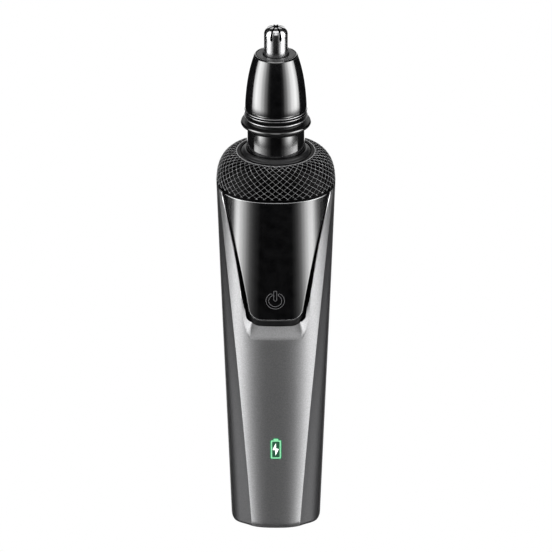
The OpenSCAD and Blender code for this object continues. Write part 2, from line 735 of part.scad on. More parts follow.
// Lead that runs forward off the port board, up, and forward to the main board.
module port_lead(x) {
  top_z = port_lead_z + port_lead_rise;
  rod_y(x, -4.0, port_lead_y, port_lead_z);
  translate([x, port_lead_y, port_lead_z]) sphere(r = lead_r);
  translate([x, port_lead_y, port_lead_z]) cylinder(r = lead_r, h = port_lead_rise);
  translate([x, port_lead_y, top_z]) sphere(r = lead_r);
  rod_y(x, port_lead_y, lead_end_y, top_z);
}

// ---- press panel -----------------------------------------------------------
// The panel's edge slopes outwards behind its face, widest at the lower end.
// Two lugs take the hinge pin and a stud faces the switch.
module front_panel() {
  panel_top = 114.4;
  lug_x = 2.6;
  lug_w = 2;
  color([0.015, 0.015, 0.018]) union() {
    band_slab(outline(panel_bottom, panel_corner, panel_top), 0,
      outline(72.85, 3.9, panel_top, 1, -0.42), panel_t);
    for (s = [-1, 1]) difference() {
      union() {
        hinge_rod(mirrored(s, lug_x, lug_w), 1.3, lug_w);
        translate([mirrored(s, lug_x, lug_w), -16.0, hinge_z - 1.1]) cube([lug_w, 3.0, 2.2]);
      }
      hinge_rod(mirrored(s, 2, 3), 0.66, 3);
    }
    rod_y(0, -13.55, -14.95, switch_z, 1.3);
  }
}
// Ring with a gap at its top and a short bar: the usual on and off sign.
module power_symbol() {
  color([0.3, 0.31, 0.33]) on_front(81.4)
    translate([0, 0, -0.13]) linear_extrude(0.16) {
      difference() {
        circle(r = 2.95);
        circle(r = 2.05);
        polygon([[0, 0], [-2.4, 4], [2.4, 4]]);
      }
      translate([-0.45, 0.3]) square([0.9, 3.1]);
    }
}

// ---- cutting head ----------------------------------------------------------
cone_bottom = 138.3;
cone_wall = 1.25;
tip_round = 2.3;       // radius of the cutter tube's rounded end
tip_wall = 0.3;

// Neck, round flange and spigot; the two slots in the neck's end take the
// socket's ribs, so the head can't turn in the handle.
module head_base() {
  color([0.03, 0.03, 0.035]) difference() {
    // [radius, z]
    rotate_extrude() polygon([[3.05, 129.4], [7.2, 129.4], [7.2, 114], [neck_r - 0.3, 114],
      [neck_r, 114.3], [neck_r, 118.9], [8.0, 118.9], [8.0, 120.5], [neck_r, 120.5],
      [neck_r, 130.1], [9.09, 131.1], [9.96, 132.1], [10.44, 133.06], [10.58, 134.0],
      [10.41, 135.0], [9.76, 136.0], [9.4, 136.2], [7.5, 136.2], [7.5, 140.4], [3.05, 140.4]]);
    for (s = [-1, 1]) translate([mirrored(s, 6, 4), -1.1, 113]) cube([4, 2.2, 3.5]);
  }
}
module head_oring() {
  color([0.12, 0.12, 0.12]) translate([0, 0, 119.7])
    rotate_extrude() translate([8.41, 0]) circle(r = 0.39, $fn = 24);
}
module shaft_guide() {
  bore_r = cutter_shaft_r + 0.04;
  color(bronze) union() {
    tube(3.02, bore_r, 129.6, 140.4);
    tube(4.4, bore_r, 128.7, 129.38);
    tube(2.9, bore_r, 129.3, 129.7);
  }
}
// Turns under the cap; its three keys carry the cap round with it.
module lock_ring() {
  color([0.02, 0.02, 0.022]) union() {
    tube(9.4, 7.56, 136.25, 137.42);
    for (a = key_angles) rotate([0, 0, a]) intersection() {
      tube(8.62, 7.95, 137.3, 139.6);
      translate([7, -1, 136]) cube([3, 2, 5]);
    }
  }
}
// Radius of the cone at a height above its lower edge.
function cone_r(rise) = cap_r - 0.055 * rise - 0.0022 * rise * rise
  - 0.00026 * rise * rise * rise;
module cone_cap() {
  height = cap_top - cone_bottom;
  color([0.015, 0.015, 0.018]) difference() {
    rotate_extrude() polygon(concat(
      [[8.25, 137.5], [cap_r - 0.08, 137.5], [cap_r, 137.9]],
      [for (i = [0:14]) let (rise = (height - 0.3) * i / 14)
        [cone_r(rise), cone_bottom + rise]],
      [[cone_r(height) - 0.3, cap_top], [3.93, cap_top], [3.93, 154.5]],
      [for (i = [13:-1:0]) let (rise = 16.1 * i / 13)
        [cone_r(rise) - cone_wall, cone_bottom + rise]]));
    for (a = key_angles) rotate([0, 0, a]) translate([7.5, -1.1, 137]) cube([1.2, 2.2, 2.9]);
  }
}
// Thin steel tube with a rounded, slotted end and a flange inside the cap.
module outer_cutter() {
  centre_r = tip_r - tip_round;
  inner_round = tip_round - tip_wall;
  inner_z = tip_top - tip_round - 0.05;
  color([0.85, 0.85, 0.87]) difference() {
    rotate_extrude() polygon(concat(
      [[tip_r - tip_wall, 153.42], [5.2, 153.42], [5.2, 154.36], [tip_r, 154.36]],
      [for (a = [0:15:90])
        [centre_r + tip_round * cos(a), tip_top - tip_round + tip_round * sin(a)]],
      [[0, tip_top], [0, tip_top - 0.35]],
      [for (a = [90:-15:0]) [centre_r + inner_round * cos(a), inner_z + inner_round * sin(a)]]));
    for (k = [0:tip_slots - 1]) rotate([0, 0, 180 / tip_slots + 360 * k / tip_slots])
      translate([0.95, -slot_w / 2, 161.6]) cube([4, slot_w, 5]);
  }
}
module cap_retainer() {
  color([0.06, 0.06, 0.065]) tube(5.85, 3.4, 151.4, 153.38);
}
module cutter_shaft() {
  color(shaft_steel) rotate_extrude() polygon([[0, 120.2], [cutter_shaft_r - 0.15, 120.2],
    [cutter_shaft_r, 120.35], [cutter_shaft_r, 156.9], [cutter_shaft_r - 0.2, 157.1],
    [0, 157.1]]);
}
// Two crossed blades on a hub, turning just inside the slotted tip.
module inner_cutter() {
  color([0.78, 0.79, 0.8]) difference() {
    union() {
      translate([0, 0, 154.6]) cylinder(r = 2.1, h = 4.4);
      intersection() {
        for (a = [0, 90]) rotate([0, 0, a]) translate([-3.2, -0.25, 156]) cube([6.4, 0.5, 7.8]);
        rotate_extrude() polygon([[0, 155], [3.2, 155], [3.2, 161.9], [2.9, 162.9],
          [2.2, 163.55], [1.3, 163.85], [0, 163.85]]);
      }
    }
    translate([0, 0, 150]) cylinder(r = cutter_shaft_r + press_fit, h = 7.15);
  }
}
// Sleeve from the spindle's hexagon to the cutter shaft.
module drive_coupler() {
  color([0.85, 0.85, 0.82]) difference() {
    union() {
      translate([0, 0, 113.6]) cylinder(r = 2.8, h = 8.6);
      translate([0, 0, 121]) cylinder(r = 4.2, h = 1.2);
    }
    translate([0, 0, 112]) cylinder(r = 1.58, h = 7.2, $fn = 6);
    translate([0, 0, 119.5]) cylinder(r = cutter_shaft_r + press_fit, h = 5);
  }
}
// Coil spring between the coupler and the guide.
module cutter_spring() {
  turns = 5;
  steps = 20;          // per turn
  coil_r = 3.2;
  wire_r = 0.28;
  bottom = 122.55;
  pitch = (128.3 - bottom) / turns;
  color([0.75, 0.76, 0.78]) loft([for (i = [0:turns * steps])
    let (turn = 360 * i / steps, z = bottom + pitch * i / steps)
    [for (k = [0:5]) let (r = coil_r + wire_r * cos(60 * k))
      [r * cos(turn), r * sin(turn), z + wire_r * sin(60 * k)]]]);
}

body_shell();
base_cap();
base_seal();
base_screws();
inner_frame();
panel_frame();
panel_hinge_pin();
knurled_ring();
shoulder_seal();
socket_cup();
socket_screws();
motor_can();
motor_end_cap();
motor_magnets();
motor_bushes();
motor_brushes();
motor_terminals();
motor_plate();
motor_screws();
damper_sleeve();
spindle_bush();
spindle_seal();
main_board();
board_screws();
board_components();
switch_body();
indicator_led();
light_guide();
indicator_window();
battery_symbol();
battery_cell();
battery_tabs();
battery_leads();
motor_leads();
charge_socket();
socket_tongue();
port_board();
port_leads();
motor_shaft();
rotor_core();
rotor_windings();
commutator();
drive_spindle();
front_panel();
power_symbol();
switch_plunger();
head_base();
head_oring();
shaft_guide();
lock_ring();
cone_cap();
outer_cutter();
cap_retainer();
cutter_shaft();
inner_cutter();
drive_coupler();
cutter_spring();
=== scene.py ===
import bpy, bmesh, json, math
import numpy as np
from mathutils import Vector, Matrix


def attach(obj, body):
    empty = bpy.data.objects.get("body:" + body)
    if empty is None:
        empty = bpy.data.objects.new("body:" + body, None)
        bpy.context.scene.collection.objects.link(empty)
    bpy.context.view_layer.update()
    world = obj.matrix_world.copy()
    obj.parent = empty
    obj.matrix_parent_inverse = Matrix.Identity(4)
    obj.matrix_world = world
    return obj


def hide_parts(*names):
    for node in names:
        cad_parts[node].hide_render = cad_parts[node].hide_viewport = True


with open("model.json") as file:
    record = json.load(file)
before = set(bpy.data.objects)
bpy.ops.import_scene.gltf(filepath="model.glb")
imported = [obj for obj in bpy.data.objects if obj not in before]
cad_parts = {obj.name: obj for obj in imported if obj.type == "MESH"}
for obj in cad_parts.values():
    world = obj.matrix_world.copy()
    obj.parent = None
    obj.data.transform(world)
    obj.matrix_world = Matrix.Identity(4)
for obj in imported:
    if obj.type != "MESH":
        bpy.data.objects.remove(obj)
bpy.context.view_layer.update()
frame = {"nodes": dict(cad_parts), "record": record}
MM = 0.001
pi = math.pi
rad = math.radians

# ------------------------------------------------------------------ section of the handle (millimetres)
SHELL_TOP = 114.6
BAND_A = 18.2


def half_d(z): return 12.3 + 4.9 * z / SHELL_TOP
def half_w(z): return 14.0 + 4.03 * z / SHELL_TOP
def bend(z): return 2.5 - 0.2 * z / SHELL_TOP
def crease_x(z): return 7.5 + 0.066 * z + 0.00017 * z * z


def crown(z):
    """Extra roundness of the band towards the foot, as a slope at the crease."""
    return 0.27 * max(0.0, 1 - z / 72)


def band_y(x, z):
    n = bend(z)
    u = max(1 - (abs(x) / BAND_A) ** n, 1e-4)
    xc = crease_x(z)
    return half_d(z) * u ** (1 / n) - crown(z) * xc * min(abs(x) / xc, 1.0) ** 3 / 3


def band_slope(x, z):
    n = bend(z)
    q = min(abs(x) / BAND_A, 0.9995)
    return math.atan(half_d(z) / BAND_A * q ** (n - 1) * (1 - q ** n) ** (1 / n - 1)
                     + crown(z) * min(abs(x) / crease_x(z), 1.0) ** 2)


def side_ctrl(z):
    xc = crease_x(z)
    yc = band_y(xc, z)
    w = half_w(z)
    a = min(band_slope(xc, z) + rad(12), rad(88))
    l = 0.38 * math.hypot(w - xc, yc)
    return np.array([[xc, yc], [xc + l * math.cos(a), yc - l * math.sin(a)], [w, 0.85 * yc], [w, 0.0]])


def bez(p, t):
    return p[0] * (1 - t) ** 3 + 3 * p[1] * t * (1 - t) ** 2 + 3 * p[2] * t * t * (1 - t) + p[3] * t ** 3


def front(x, z, d=0.0):
    """Point on the front band at depth d along its normal."""
    y = -band_y(x, z)
    a = band_slope(x, z) * (1 if x >= 0 else -1)
    nx, ny = math.sin(a), -math.cos(a)
    nz = -0.043
    m = math.sqrt(nx * nx + ny * ny + nz * nz)
    return np.array([x - nx / m * d, y - ny / m * d, z - nz / m * d])


def panel_w(z):
    s = z - 78.7
    return 8.25 + 0.165 * s + 0.0013 * s * s


def panel_gap(z):
    return 0.7 - 0.3 * (z - 98.6) / 16 if z > 98.6 else 0.7 + 0.047 * (98.6 - z)


def gap_w(z): return panel_w(z) + panel_gap(z)


def rim_w(z):
    d, q = max(78 - z, 0), max(z, 78)
    return gap_w(q) + 0.36 - 0.08 * max(0.0, min(1.0, (z - 86) / 14)) + 0.2 * max(0.0, min(1.0, (84 - z) / 6)) \
        - 0.088 * d - 0.000126 * d ** 4


# ------------------------------------------------------------------ mesh helpers
class Build:
    def __init__(self):
        self.v, self.f, self.m = [], [], []

    def add(self, pts):
        k = len(self.v)
        self.v.extend([tuple(p) for p in pts])
        return list(range(k, k + len(pts)))

    def face(self, ids, mat=0):
        out = []
        for i in ids:
            if not out or out[-1] != i:
                out.append(i)
        if len(out) > 2 and out[0] == out[-1]:
            out = out[:-1]
        if len(set(out)) > 2:
            self.f.append(out)
            self.m.append(mat)

    def grid(self, rows, close_u=False, close_v=False, flip=False, mat=0):
        """rows: list of equal lists of points; quads between neighbours."""
        m, n = len(rows), len(rows[0])
        ids = [self.add(r) for r in rows]
        for j in range(m if close_v else m - 1):
            for i in range(n if close_u else n - 1):
                a, b = ids[j][i], ids[j][(i + 1) % n]
                c, d = ids[(j + 1) % m][(i + 1) % n], ids[(j + 1) % m][i]
                self.face([a, d, c, b] if flip else [a, b, c, d], mat)
        return ids


def finish_mesh(name, b, mats, body, sharp=32, merge=1e-6, smooth=True, recalc=False, value=None):
    me = bpy.data.meshes.new(name)
    me.from_pydata([(x * MM, y * MM, z * MM) for x, y, z in b.v], [], b.f)
    me.polygons.foreach_set("material_index", b.m)
    if value is not None:
        at = me.attributes.new("crest_highlight", "FLOAT", "POINT")
        at.data.foreach_set("value", value)
    bm = bmesh.new()
    bm.from_mesh(me)
    bmesh.ops.remove_doubles(bm, verts=bm.verts, dist=merge)
    bmesh.ops.dissolve_degenerate(bm, edges=bm.edges, dist=1e-8)
    loose = [v for v in bm.verts if not v.link_faces]
    bmesh.ops.delete(bm, geom=loose, context="VERTS")
    if recalc:
        bmesh.ops.recalc_face_normals(bm, faces=bm.faces)
    bm.to_mesh(me)
    bm.free()
    me.shade_smooth()
    if sharp is not None:
        me.set_sharp_from_angle(angle=rad(sharp))
    o = bpy.data.objects.new(name, me)
    bpy.context.scene.collection.objects.link(o)
    for m in mats:
        me.materials.append(m)
    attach(o, body)
    return o


def fillet(points, radii, seg=5):
    """Rounds the corners of an open or closed 2D profile."""
    out = []
    n = len(points)
    for i, p in enumerate(points):
        r = radii[i] if isinstance(radii, (list, tuple)) else radii
        p = np.array(p, float)
        a = np.array(points[(i - 1) % n], float) - p
        c = np.array(points[(i + 1) % n], float) - p
        la, lc = np.linalg.norm(a), np.linalg.norm(c)
        if r <= 0 or la < 1e-9 or lc < 1e-9:
            out.append(tuple(p))
            continue
        a, c = a / la, c / lc
        ang = math.acos(max(-1, min(1, float(a @ c))))
        if ang > pi - 0.02:
            out.append(tuple(p))
            continue
        t = min(r / math.tan(ang / 2), 0.45 * la, 0.45 * lc)
        rr = t * math.tan(ang / 2)
        bis = (a + c) / np.linalg.norm(a + c)
        centre = p + bis * (rr / math.sin(ang / 2))
        s, e = p + a * t, p + c * t
        a0 = math.atan2(*(s - centre)[::-1])
        a1 = math.atan2(*(e - centre)[::-1])
        d = (a1 - a0 + pi) % (2 * pi) - pi
        for k in range(seg + 1):
            w = a0 + d * k / seg
            out.append((centre[0] + rr * math.cos(w), centre[1] + rr * math.sin(w)))
    return out


def lathe(b, profile, seg=144, mat=0, closed=True, bump=None):
    """Turns a closed (r, z) profile, counter-clockwise in the r-z plane, about Z."""
    rows = []
    for k in range(seg):
        a = 2 * pi * k / seg
        rows.append([(r * math.cos(a), r * math.sin(a), z) for r, z in profile])
    b.grid(rows, close_u=closed, close_v=True, flip=False, mat=mat)
    return b


def smooth_curve(pts, n):
    """Catmull-Rom through (r, z) points."""
    p = [np.array(q, float) for q in pts]
    p = [2 * p[0] - p[1]] + p + [2 * p[-1] - p[-2]]
    out = []
    for i in range(1, len(p) - 2):
        for k in range(n):
            t = k / n
            out.append(tuple(0.5 * ((2 * p[i]) + (p[i + 1] - p[i - 1]) * t
                       + (2 * p[i - 1] - 5 * p[i] + 4 * p[i + 1] - p[i + 2]) * t * t
                       + (3 * p[i] - p[i - 1] - 3 * p[i + 1] + p[i + 2]) * t ** 3)))
    out.append(tuple(p[-2]))
    return out


# ------------------------------------------------------------------ materials
def nodes_of(name):
    m = bpy.data.materials.new(name)
    m.use_nodes = True
    nt = m.node_tree
    nt.nodes.clear()
    out = nt.nodes.new("ShaderNodeOutputMaterial")
    bsdf = nt.nodes.new("ShaderNodeBsdfPrincipled")
    nt.links.new(bsdf.outputs[0], out.inputs[0])
    tc = nt.nodes.new("ShaderNodeTexCoord")
    return m, nt, bsdf, tc


def noise(nt, tc, scale, detail=3, rough=0.55, vec=None, stretch=None):
    n = nt.nodes.new("ShaderNodeTexNoise")
    n.inputs["Scale"].default_value = scale
    n.inputs["Detail"].default_value = detail
    n.inputs["Roughness"].default_value = rough
    src = tc.outputs["Object"]
    if stretch:
        mp = nt.nodes.new("ShaderNodeMapping")
        mp.inputs["Scale"].default_value = stretch
        nt.links.new(src, mp.inputs["Vector"])
        src = mp.outputs[0]
    nt.links.new(src, n.inputs["Vector"])
    return n


def ramp(nt, src, lo, hi, clo, chi):
    r = nt.nodes.new("ShaderNodeMapRange")
    r.inputs["From Min"].default_value = lo
    r.inputs["From Max"].default_value = hi
    r.inputs["To Min"].default_value = clo
    r.inputs["To Max"].default_value = chi
    nt.links.new(src, r.inputs["Value"])
    return r.outputs[0]


def mix_col(nt, fac, a, b):
    m = nt.nodes.new("ShaderNodeMix")
    m.data_type = "RGBA"
    nt.links.new(fac, m.inputs[0])
    m.inputs[6].default_value = (*a, 1)
    m.inputs[7].default_value = (*b, 1)
    return m.outputs[2]


def bump(nt, bsdf, src, strength, dist, prev=None):
    b = nt.nodes.new("ShaderNodeBump")
    b.inputs["Strength"].default_value = strength
    b.inputs["Distance"].default_value = dist
    nt.links.new(src, b.inputs["Height"])
    if prev is not None:
        nt.links.new(prev, b.inputs["Normal"])
    nt.links.new(b.outputs[0], bsdf.inputs["Normal"])
    return b.outputs[0]


def surface(name, base, var=0.15, metallic=0.0, rough=0.3, rough_var=0.06, scale=900.0, grain=0.0,
            grain_scale=9000.0, grain_dist=2e-5, coat=0.0, coat_rough=0.05, spec=0.5, stretch=None, wear=0.0,
            sheen=0.0, aniso=0.0):
    """Base colour that drifts with a broad noise, roughness that drifts with a finer one, and a fine grain."""
    m, nt, bsdf, tc = nodes_of(name)
    n1 = noise(nt, tc, scale * 0.25, 4)
    n2 = noise(nt, tc, scale, 5, stretch=stretch)
    f = ramp(nt, n1.outputs[0], 0.3, 0.7, 0, 1)
    dark = tuple(c * (1 - var) for c in base)
    lite = tuple(min(1, c * (1 + var) + 0.002) for c in base)
    col = mix_col(nt, f, dark, lite)
    nt.links.new(col, bsdf.inputs["Base Color"])
    r = ramp(nt, n2.outputs[0], 0.25, 0.75, max(0.02, rough - rough_var), rough + rough_var)
    nt.links.new(r, bsdf.inputs["Roughness"])
    bsdf.inputs["Metallic"].default_value = metallic
    bsdf.inputs["Specular IOR Level"].default_value = spec
    bsdf.inputs["Coat Weight"].default_value = coat
    bsdf.inputs["Coat Roughness"].default_value = coat_rough
    if aniso:
        bsdf.inputs["Anisotropic"].default_value = aniso
    if sheen:
        bsdf.inputs["Sheen Weight"].default_value = sheen
    if grain:
        g = noise(nt, tc, grain_scale, 2, stretch=stretch)
        bump(nt, bsdf, g.outputs[0], grain, grain_dist)
    if wear:
        geo = nt.nodes.new("ShaderNodeNewGeometry")
        w = ramp(nt, geo.outputs["Pointiness"], 0.5, 0.58, 0, 1)
        mm = nt.nodes.new("ShaderNodeMix")
        mm.data_type = "RGBA"
        mul = nt.nodes.new("ShaderNodeMath")
        mul.operation = "MULTIPLY"
        mul.inputs[1].default_value = wear
        nt.links.new(w, mul.inputs[0])
        nt.links.new(mul.outputs[0], mm.inputs[0])
        nt.links.new(col, mm.inputs[6])
        mm.inputs[7].default_value = (*[min(1, c * 2.2 + 0.12) for c in base], 1)
        nt.links.new(mm.outputs[2], bsdf.inputs["Base Color"])
    return m


def flake_paint(name, base, rough=0.3, metallic=0.6):
    """Silver paint: fine bright flakes under a thin clear coat."""
    m, nt, bsdf, tc = nodes_of(name)
    v = nt.nodes.new("ShaderNodeTexVoronoi")
    v.inputs["Scale"].default_value = 8200
    nt.links.new(tc.outputs["Object"], v.inputs["Vector"])
    sep = nt.nodes.new("ShaderNodeSeparateColor")
    nt.links.new(v.outputs["Color"], sep.inputs[0])
    f = ramp(nt, sep.outputs[0], 0.0, 1.0, 0.0, 1.0)
    col = mix_col(nt, f, tuple(c * 0.9 for c in base), tuple(min(1, c * 1.1) for c in base))
    broad = noise(nt, tc, 60, 3)
    mm = nt.nodes.new("ShaderNodeMix")
    mm.data_type = "RGBA"
    mm.blend_type = "MULTIPLY"
    mm.inputs[0].default_value = 1.0
    nt.links.new(col, mm.inputs[6])
    grains = noise(nt, tc, 2600, 3)
    both = nt.nodes.new("ShaderNodeMath")
    both.operation = "MULTIPLY"
    nt.links.new(ramp(nt, broad.outputs[0], 0.3, 0.7, 0.9, 1), both.inputs[0])
    nt.links.new(ramp(nt, grains.outputs[0], 0.35, 0.65, 0, 1), both.inputs[1])
    shade = mix_col(nt, both.outputs[0], (0.84, 0.84, 0.84), (1.0, 1.0, 1.0))
    nt.links.new(shade, mm.inputs[7])
    nt.links.new(mm.outputs[2], bsdf.inputs["Base Color"])
    nt.links.new(ramp(nt, sep.outputs[1], 0, 1, rough - 0.04, rough + 0.04), bsdf.inputs["Roughness"])
    bsdf.inputs["Metallic"].default_value = metallic
    bsdf.inputs["Coat Weight"].default_value = 0.08
    bsdf.inputs["Coat Roughness"].default_value = 0.3
    g = noise(nt, tc, 5200, 2)
    first = bump(nt, bsdf, g.outputs[0], 0.07, 1.0e-5)
    brushed = noise(nt, tc, 3000, 3, stretch=(0.05, 0.05, 1))
    bump(nt, bsdf, brushed.outputs[0], 0.05, 1.2e-5, prev=first)
    return m


def knurl_painted_glints(name):
    """Satin black whose raised crests, and the flat top margin, are painted a paler metallic grey: a painted highlight
    along the ridges and the top edge.
    """
    m, nt, bsdf, tc = nodes_of(name)
    at = nt.nodes.new("ShaderNodeAttribute")
    at.attribute_name = "crest_highlight"
    n = noise(nt, tc, 1600, 4)
    crest_glint = nt.nodes.new("ShaderNodeMath")
    crest_glint.operation = "MULTIPLY"
    nt.links.new(ramp(nt, at.outputs["Fac"], 0.5, 0.98, 0, 1), crest_glint.inputs[0])
    nt.links.new(ramp(nt, n.outputs[0], 0.3, 0.7, 0.75, 1.0), crest_glint.inputs[1])
    nt.links.new(mix_col(nt, crest_glint.outputs[0], (0.0004, 0.0004, 0.00045), (0.34, 0.34, 0.345)), bsdf.inputs["Base Color"])
    nt.links.new(ramp(nt, n.outputs[0], 0.3, 0.7, 0.3, 0.4), bsdf.inputs["Roughness"])
    nt.links.new(ramp(nt, crest_glint.outputs[0], 0.0, 1.0, 0.03, 0.5), bsdf.inputs["Specular IOR Level"])
    nt.links.new(ramp(nt, crest_glint.outputs[0], 0.0, 1.0, 0.0, 0.6), bsdf.inputs["Metallic"])
    g = noise(nt, tc, 5200, 2)
    bump(nt, bsdf, g.outputs[0], 0.15, 1.5e-5)
    return m


def lit(name, base, colour, strength, var=0.2, scale=900):
    m, nt, bsdf, tc = nodes_of(name)
    n = noise(nt, tc, scale, 3)
    f = ramp(nt, n.outputs[0], 0.3, 0.7, 0, 1)
    nt.links.new(mix_col(nt, f, tuple(c * (1 - var) for c in base), base), bsdf.inputs["Base Color"])
    nt.links.new(mix_col(nt, f, tuple(c * (1 - var) for c in colour), colour), bsdf.inputs["Emission Color"])
    bsdf.inputs["Emission Strength"].default_value = strength
    bsdf.inputs["Roughness"].default_value = 0.35
    return m


M = {
    "silver_paint": flake_paint("silver_paint", (0.31, 0.31, 0.314), 0.44, 1.0),
    "black_gloss": surface("black_gloss", (0.0012, 0.0012, 0.0014), 0.3, rough=0.12, rough_var=0.03, scale=1500,
                           grain=0.02, grain_scale=3000, spec=1.0, coat=1.0, coat_rough=0.05),
    "black_satin": surface("black_satin", (0.004, 0.004, 0.0045), 0.25, rough=0.35, rough_var=0.06, scale=1600,
                           grain=0.25, grain_scale=7000, grain_dist=1.5e-5),
    # darker copy of the silver paint for the side facets: painted shade
    "silver_side_shade": flake_paint("silver_side_shade", (0.058, 0.058, 0.0595), 0.46, 0.9),
    # near-black for the walls of the panel's gap and the inner rim chamfer: painted shade in the recess
    "gap_shade_black": surface("gap_shade_black", (0.0015, 0.0015, 0.0016), 0.25, rough=0.5, rough_var=0.06, scale=1600,
                           grain=0.25, grain_scale=7000, grain_dist=1.5e-5, spec=0.03),
    "collar_matte": surface("collar_matte", (0.003, 0.003, 0.0034), 0.25, rough=0.4, rough_var=0.06, scale=1600,
                            grain=0.25, grain_scale=7000, grain_dist=1.5e-5, spec=0.3),
    "knurl_black": knurl_painted_glints("knurl_black"),
    "ring_black": surface("ring_black", (0.0016, 0.0016, 0.0018), 0.25, rough=0.42, rough_var=0.05, scale=1700,
                          grain=0.15, grain_scale=6500, grain_dist=1.2e-5, spec=0.22),
    # pale metal grey for bead crests and the panel's top edge: painted highlight lines
    "edge_highlight_grey": surface("edge_highlight_grey", (0.3, 0.3, 0.305), 0.08, 1.0, 0.3, 0.05, 2400, grain=0.05, grain_scale=5200),
    # paler grey for the panel's lower bevel: painted highlight
    "foot_bevel_highlight": surface("foot_bevel_highlight", (0.42, 0.42, 0.425), 0.15, rough=0.45, rough_var=0.05, scale=2000, grain=0.1,
                         grain_scale=6000, grain_dist=1.2e-5),
    # bright metal grey for a thin band of the shell's rim: painted highlight line
    "rim_highlight_grey": surface("rim_highlight_grey", (0.62, 0.62, 0.625), 0.06, 1.0, 0.36, 0.05, 2400, grain=0.05, grain_scale=5200),
    "black_rubber": surface("black_rubber", (0.012, 0.012, 0.012), 0.3, rough=0.7, rough_var=0.1, scale=2200,
                            grain=0.4, grain_scale=6000),
    "frame_plastic": surface("frame_plastic", (0.045, 0.048, 0.052), 0.2, rough=0.5, rough_var=0.08, scale=1400,
                             grain=0.35, grain_scale=5000),
    "cutter_steel": surface("cutter_steel", (0.5, 0.5, 0.505), 0.04, 1.0, 0.2, 0.04, 2500, grain=0.06,
                            grain_scale=5200, stretch=(1, 1, 0.06)),
    "cutter_bore": surface("cutter_bore", (0.012, 0.012, 0.013), 0.2, 0.6, 0.45, 0.08, 2500, grain=0.2),
    # darker copy of steel for the inner cutter: painted shade inside the tip
    "steel_in_shade": surface("steel_in_shade", (0.06, 0.06, 0.063), 0.15, 1.0, 0.3, 0.06, 2500, grain=0.1,
                           grain_scale=5200, stretch=(1, 1, 0.06)),
    "screw_steel": surface("screw_steel", (0.55, 0.55, 0.57), 0.08, 1.0, 0.3, 0.08, 3000, grain=0.1, wear=0.4),
    "can_steel": surface("can_steel", (0.6, 0.6, 0.61), 0.06, 1.0, 0.28, 0.07, 1800, grain=0.1,
                         grain_scale=5200, stretch=(1, 1, 0.08)),
    "core_iron": surface("core_iron", (0.2, 0.2, 0.22), 0.2, 0.9, 0.45, 0.1, 2600, grain=0.4,
                         grain_scale=5200, stretch=(0.1, 0.1, 1)),
    "magnet_dark": surface("magnet_dark", (0.05, 0.05, 0.055), 0.25, 0.3, 0.6, 0.1, 2600, grain=0.5),
    "copper_wire": surface("copper_wire", (0.62, 0.26, 0.1), 0.2, 0.9, 0.28, 0.08, 2600, grain=0.5,
                           grain_scale=4200, stretch=(0.06, 0.06, 1)),
    "bush_bronze": surface("bush_bronze", (0.56, 0.38, 0.17), 0.2, 0.9, 0.42, 0.1, 4600, grain=0.5),
    "spindle_brass": surface("spindle_brass", (0.74, 0.55, 0.24), 0.1, 1.0, 0.24, 0.06, 2600, grain=0.15,
                             grain_scale=5200, stretch=(0.1, 0.1, 1)),
    "nickel_strip": surface("nickel_strip", (0.66, 0.64, 0.58), 0.06, 1.0, 0.3, 0.07, 2600, grain=0.15),
    "board_green": surface("board_green", (0.01, 0.1, 0.045), 0.3, rough=0.3, rough_var=0.08, scale=1500,
                           grain=0.3, grain_scale=2500),
    "chip_black": surface("chip_black", (0.014, 0.014, 0.016), 0.25, rough=0.5, rough_var=0.1, scale=2600, grain=0.4),
    "ivory_plastic": surface("ivory_plastic", (0.7, 0.67, 0.6), 0.06, rough=0.4, rough_var=0.08, scale=1800, grain=0.2),
    "cell_sleeve": surface("cell_sleeve", (0.03, 0.12, 0.32), 0.15, rough=0.22, rough_var=0.06, scale=900,
                           grain=0.2, grain_scale=1500, coat=0.4),
    "wire_red": surface("wire_red", (0.45, 0.02, 0.015), 0.15, rough=0.4, rough_var=0.08, scale=2600, grain=0.2),
    "wire_black": surface("wire_black", (0.012, 0.012, 0.012), 0.25, rough=0.4, rough_var=0.08, scale=2600, grain=0.2),
    "clear_guide": surface("clear_guide", (0.75, 0.85, 0.8), 0.05, rough=0.12, rough_var=0.04, scale=1800, grain=0.05),
    "disc_grey": surface("disc_grey", (0.017, 0.017, 0.0175), 0.12, rough=0.5, rough_var=0.06, scale=2600, grain=0.4,
                         grain_scale=6000),
    "window_green": lit("window_green", (0.01, 0.03, 0.02), (0.03, 0.2, 0.09), 0.35),
    "window_halo": lit("window_halo", (0.01, 0.12, 0.05), (0.03, 0.3, 0.13), 0.35),
    "symbol_green": lit("symbol_green", (0.12, 0.4, 0.2), (0.26, 0.6, 0.36), 0.6, 0.08),
    "symbol_white": lit("symbol_white", (0.8, 0.8, 0.8), (0.9, 1.0, 0.93), 0.9, 0.03),
    "symbol_grey": surface("symbol_grey", (0.13, 0.13, 0.134), 0.1, rough=0.22, rough_var=0.05, scale=3000, grain=0.1),
    "symbol_pit": surface("symbol_pit", (0.0012, 0.0012, 0.0014), 0.3, rough=0.14, rough_var=0.03, scale=3000, grain=0.02,
                          spec=0.6),
}

# CAD nodes keep their shape and take a finished material
for row in frame["record"]["subparts"]:
    o = frame["nodes"][row["node"]]
    o.data.materials.clear()
    # the inner cutter takes a darker copy of steel: painted shade inside the tip
    o.data.materials.append(M["steel_in_shade"] if row["node"] == "inner_cutter" else M[row["material_slot"]])
    o.data.shade_smooth()
    o.data.set_sharp_from_angle(angle=rad(30))


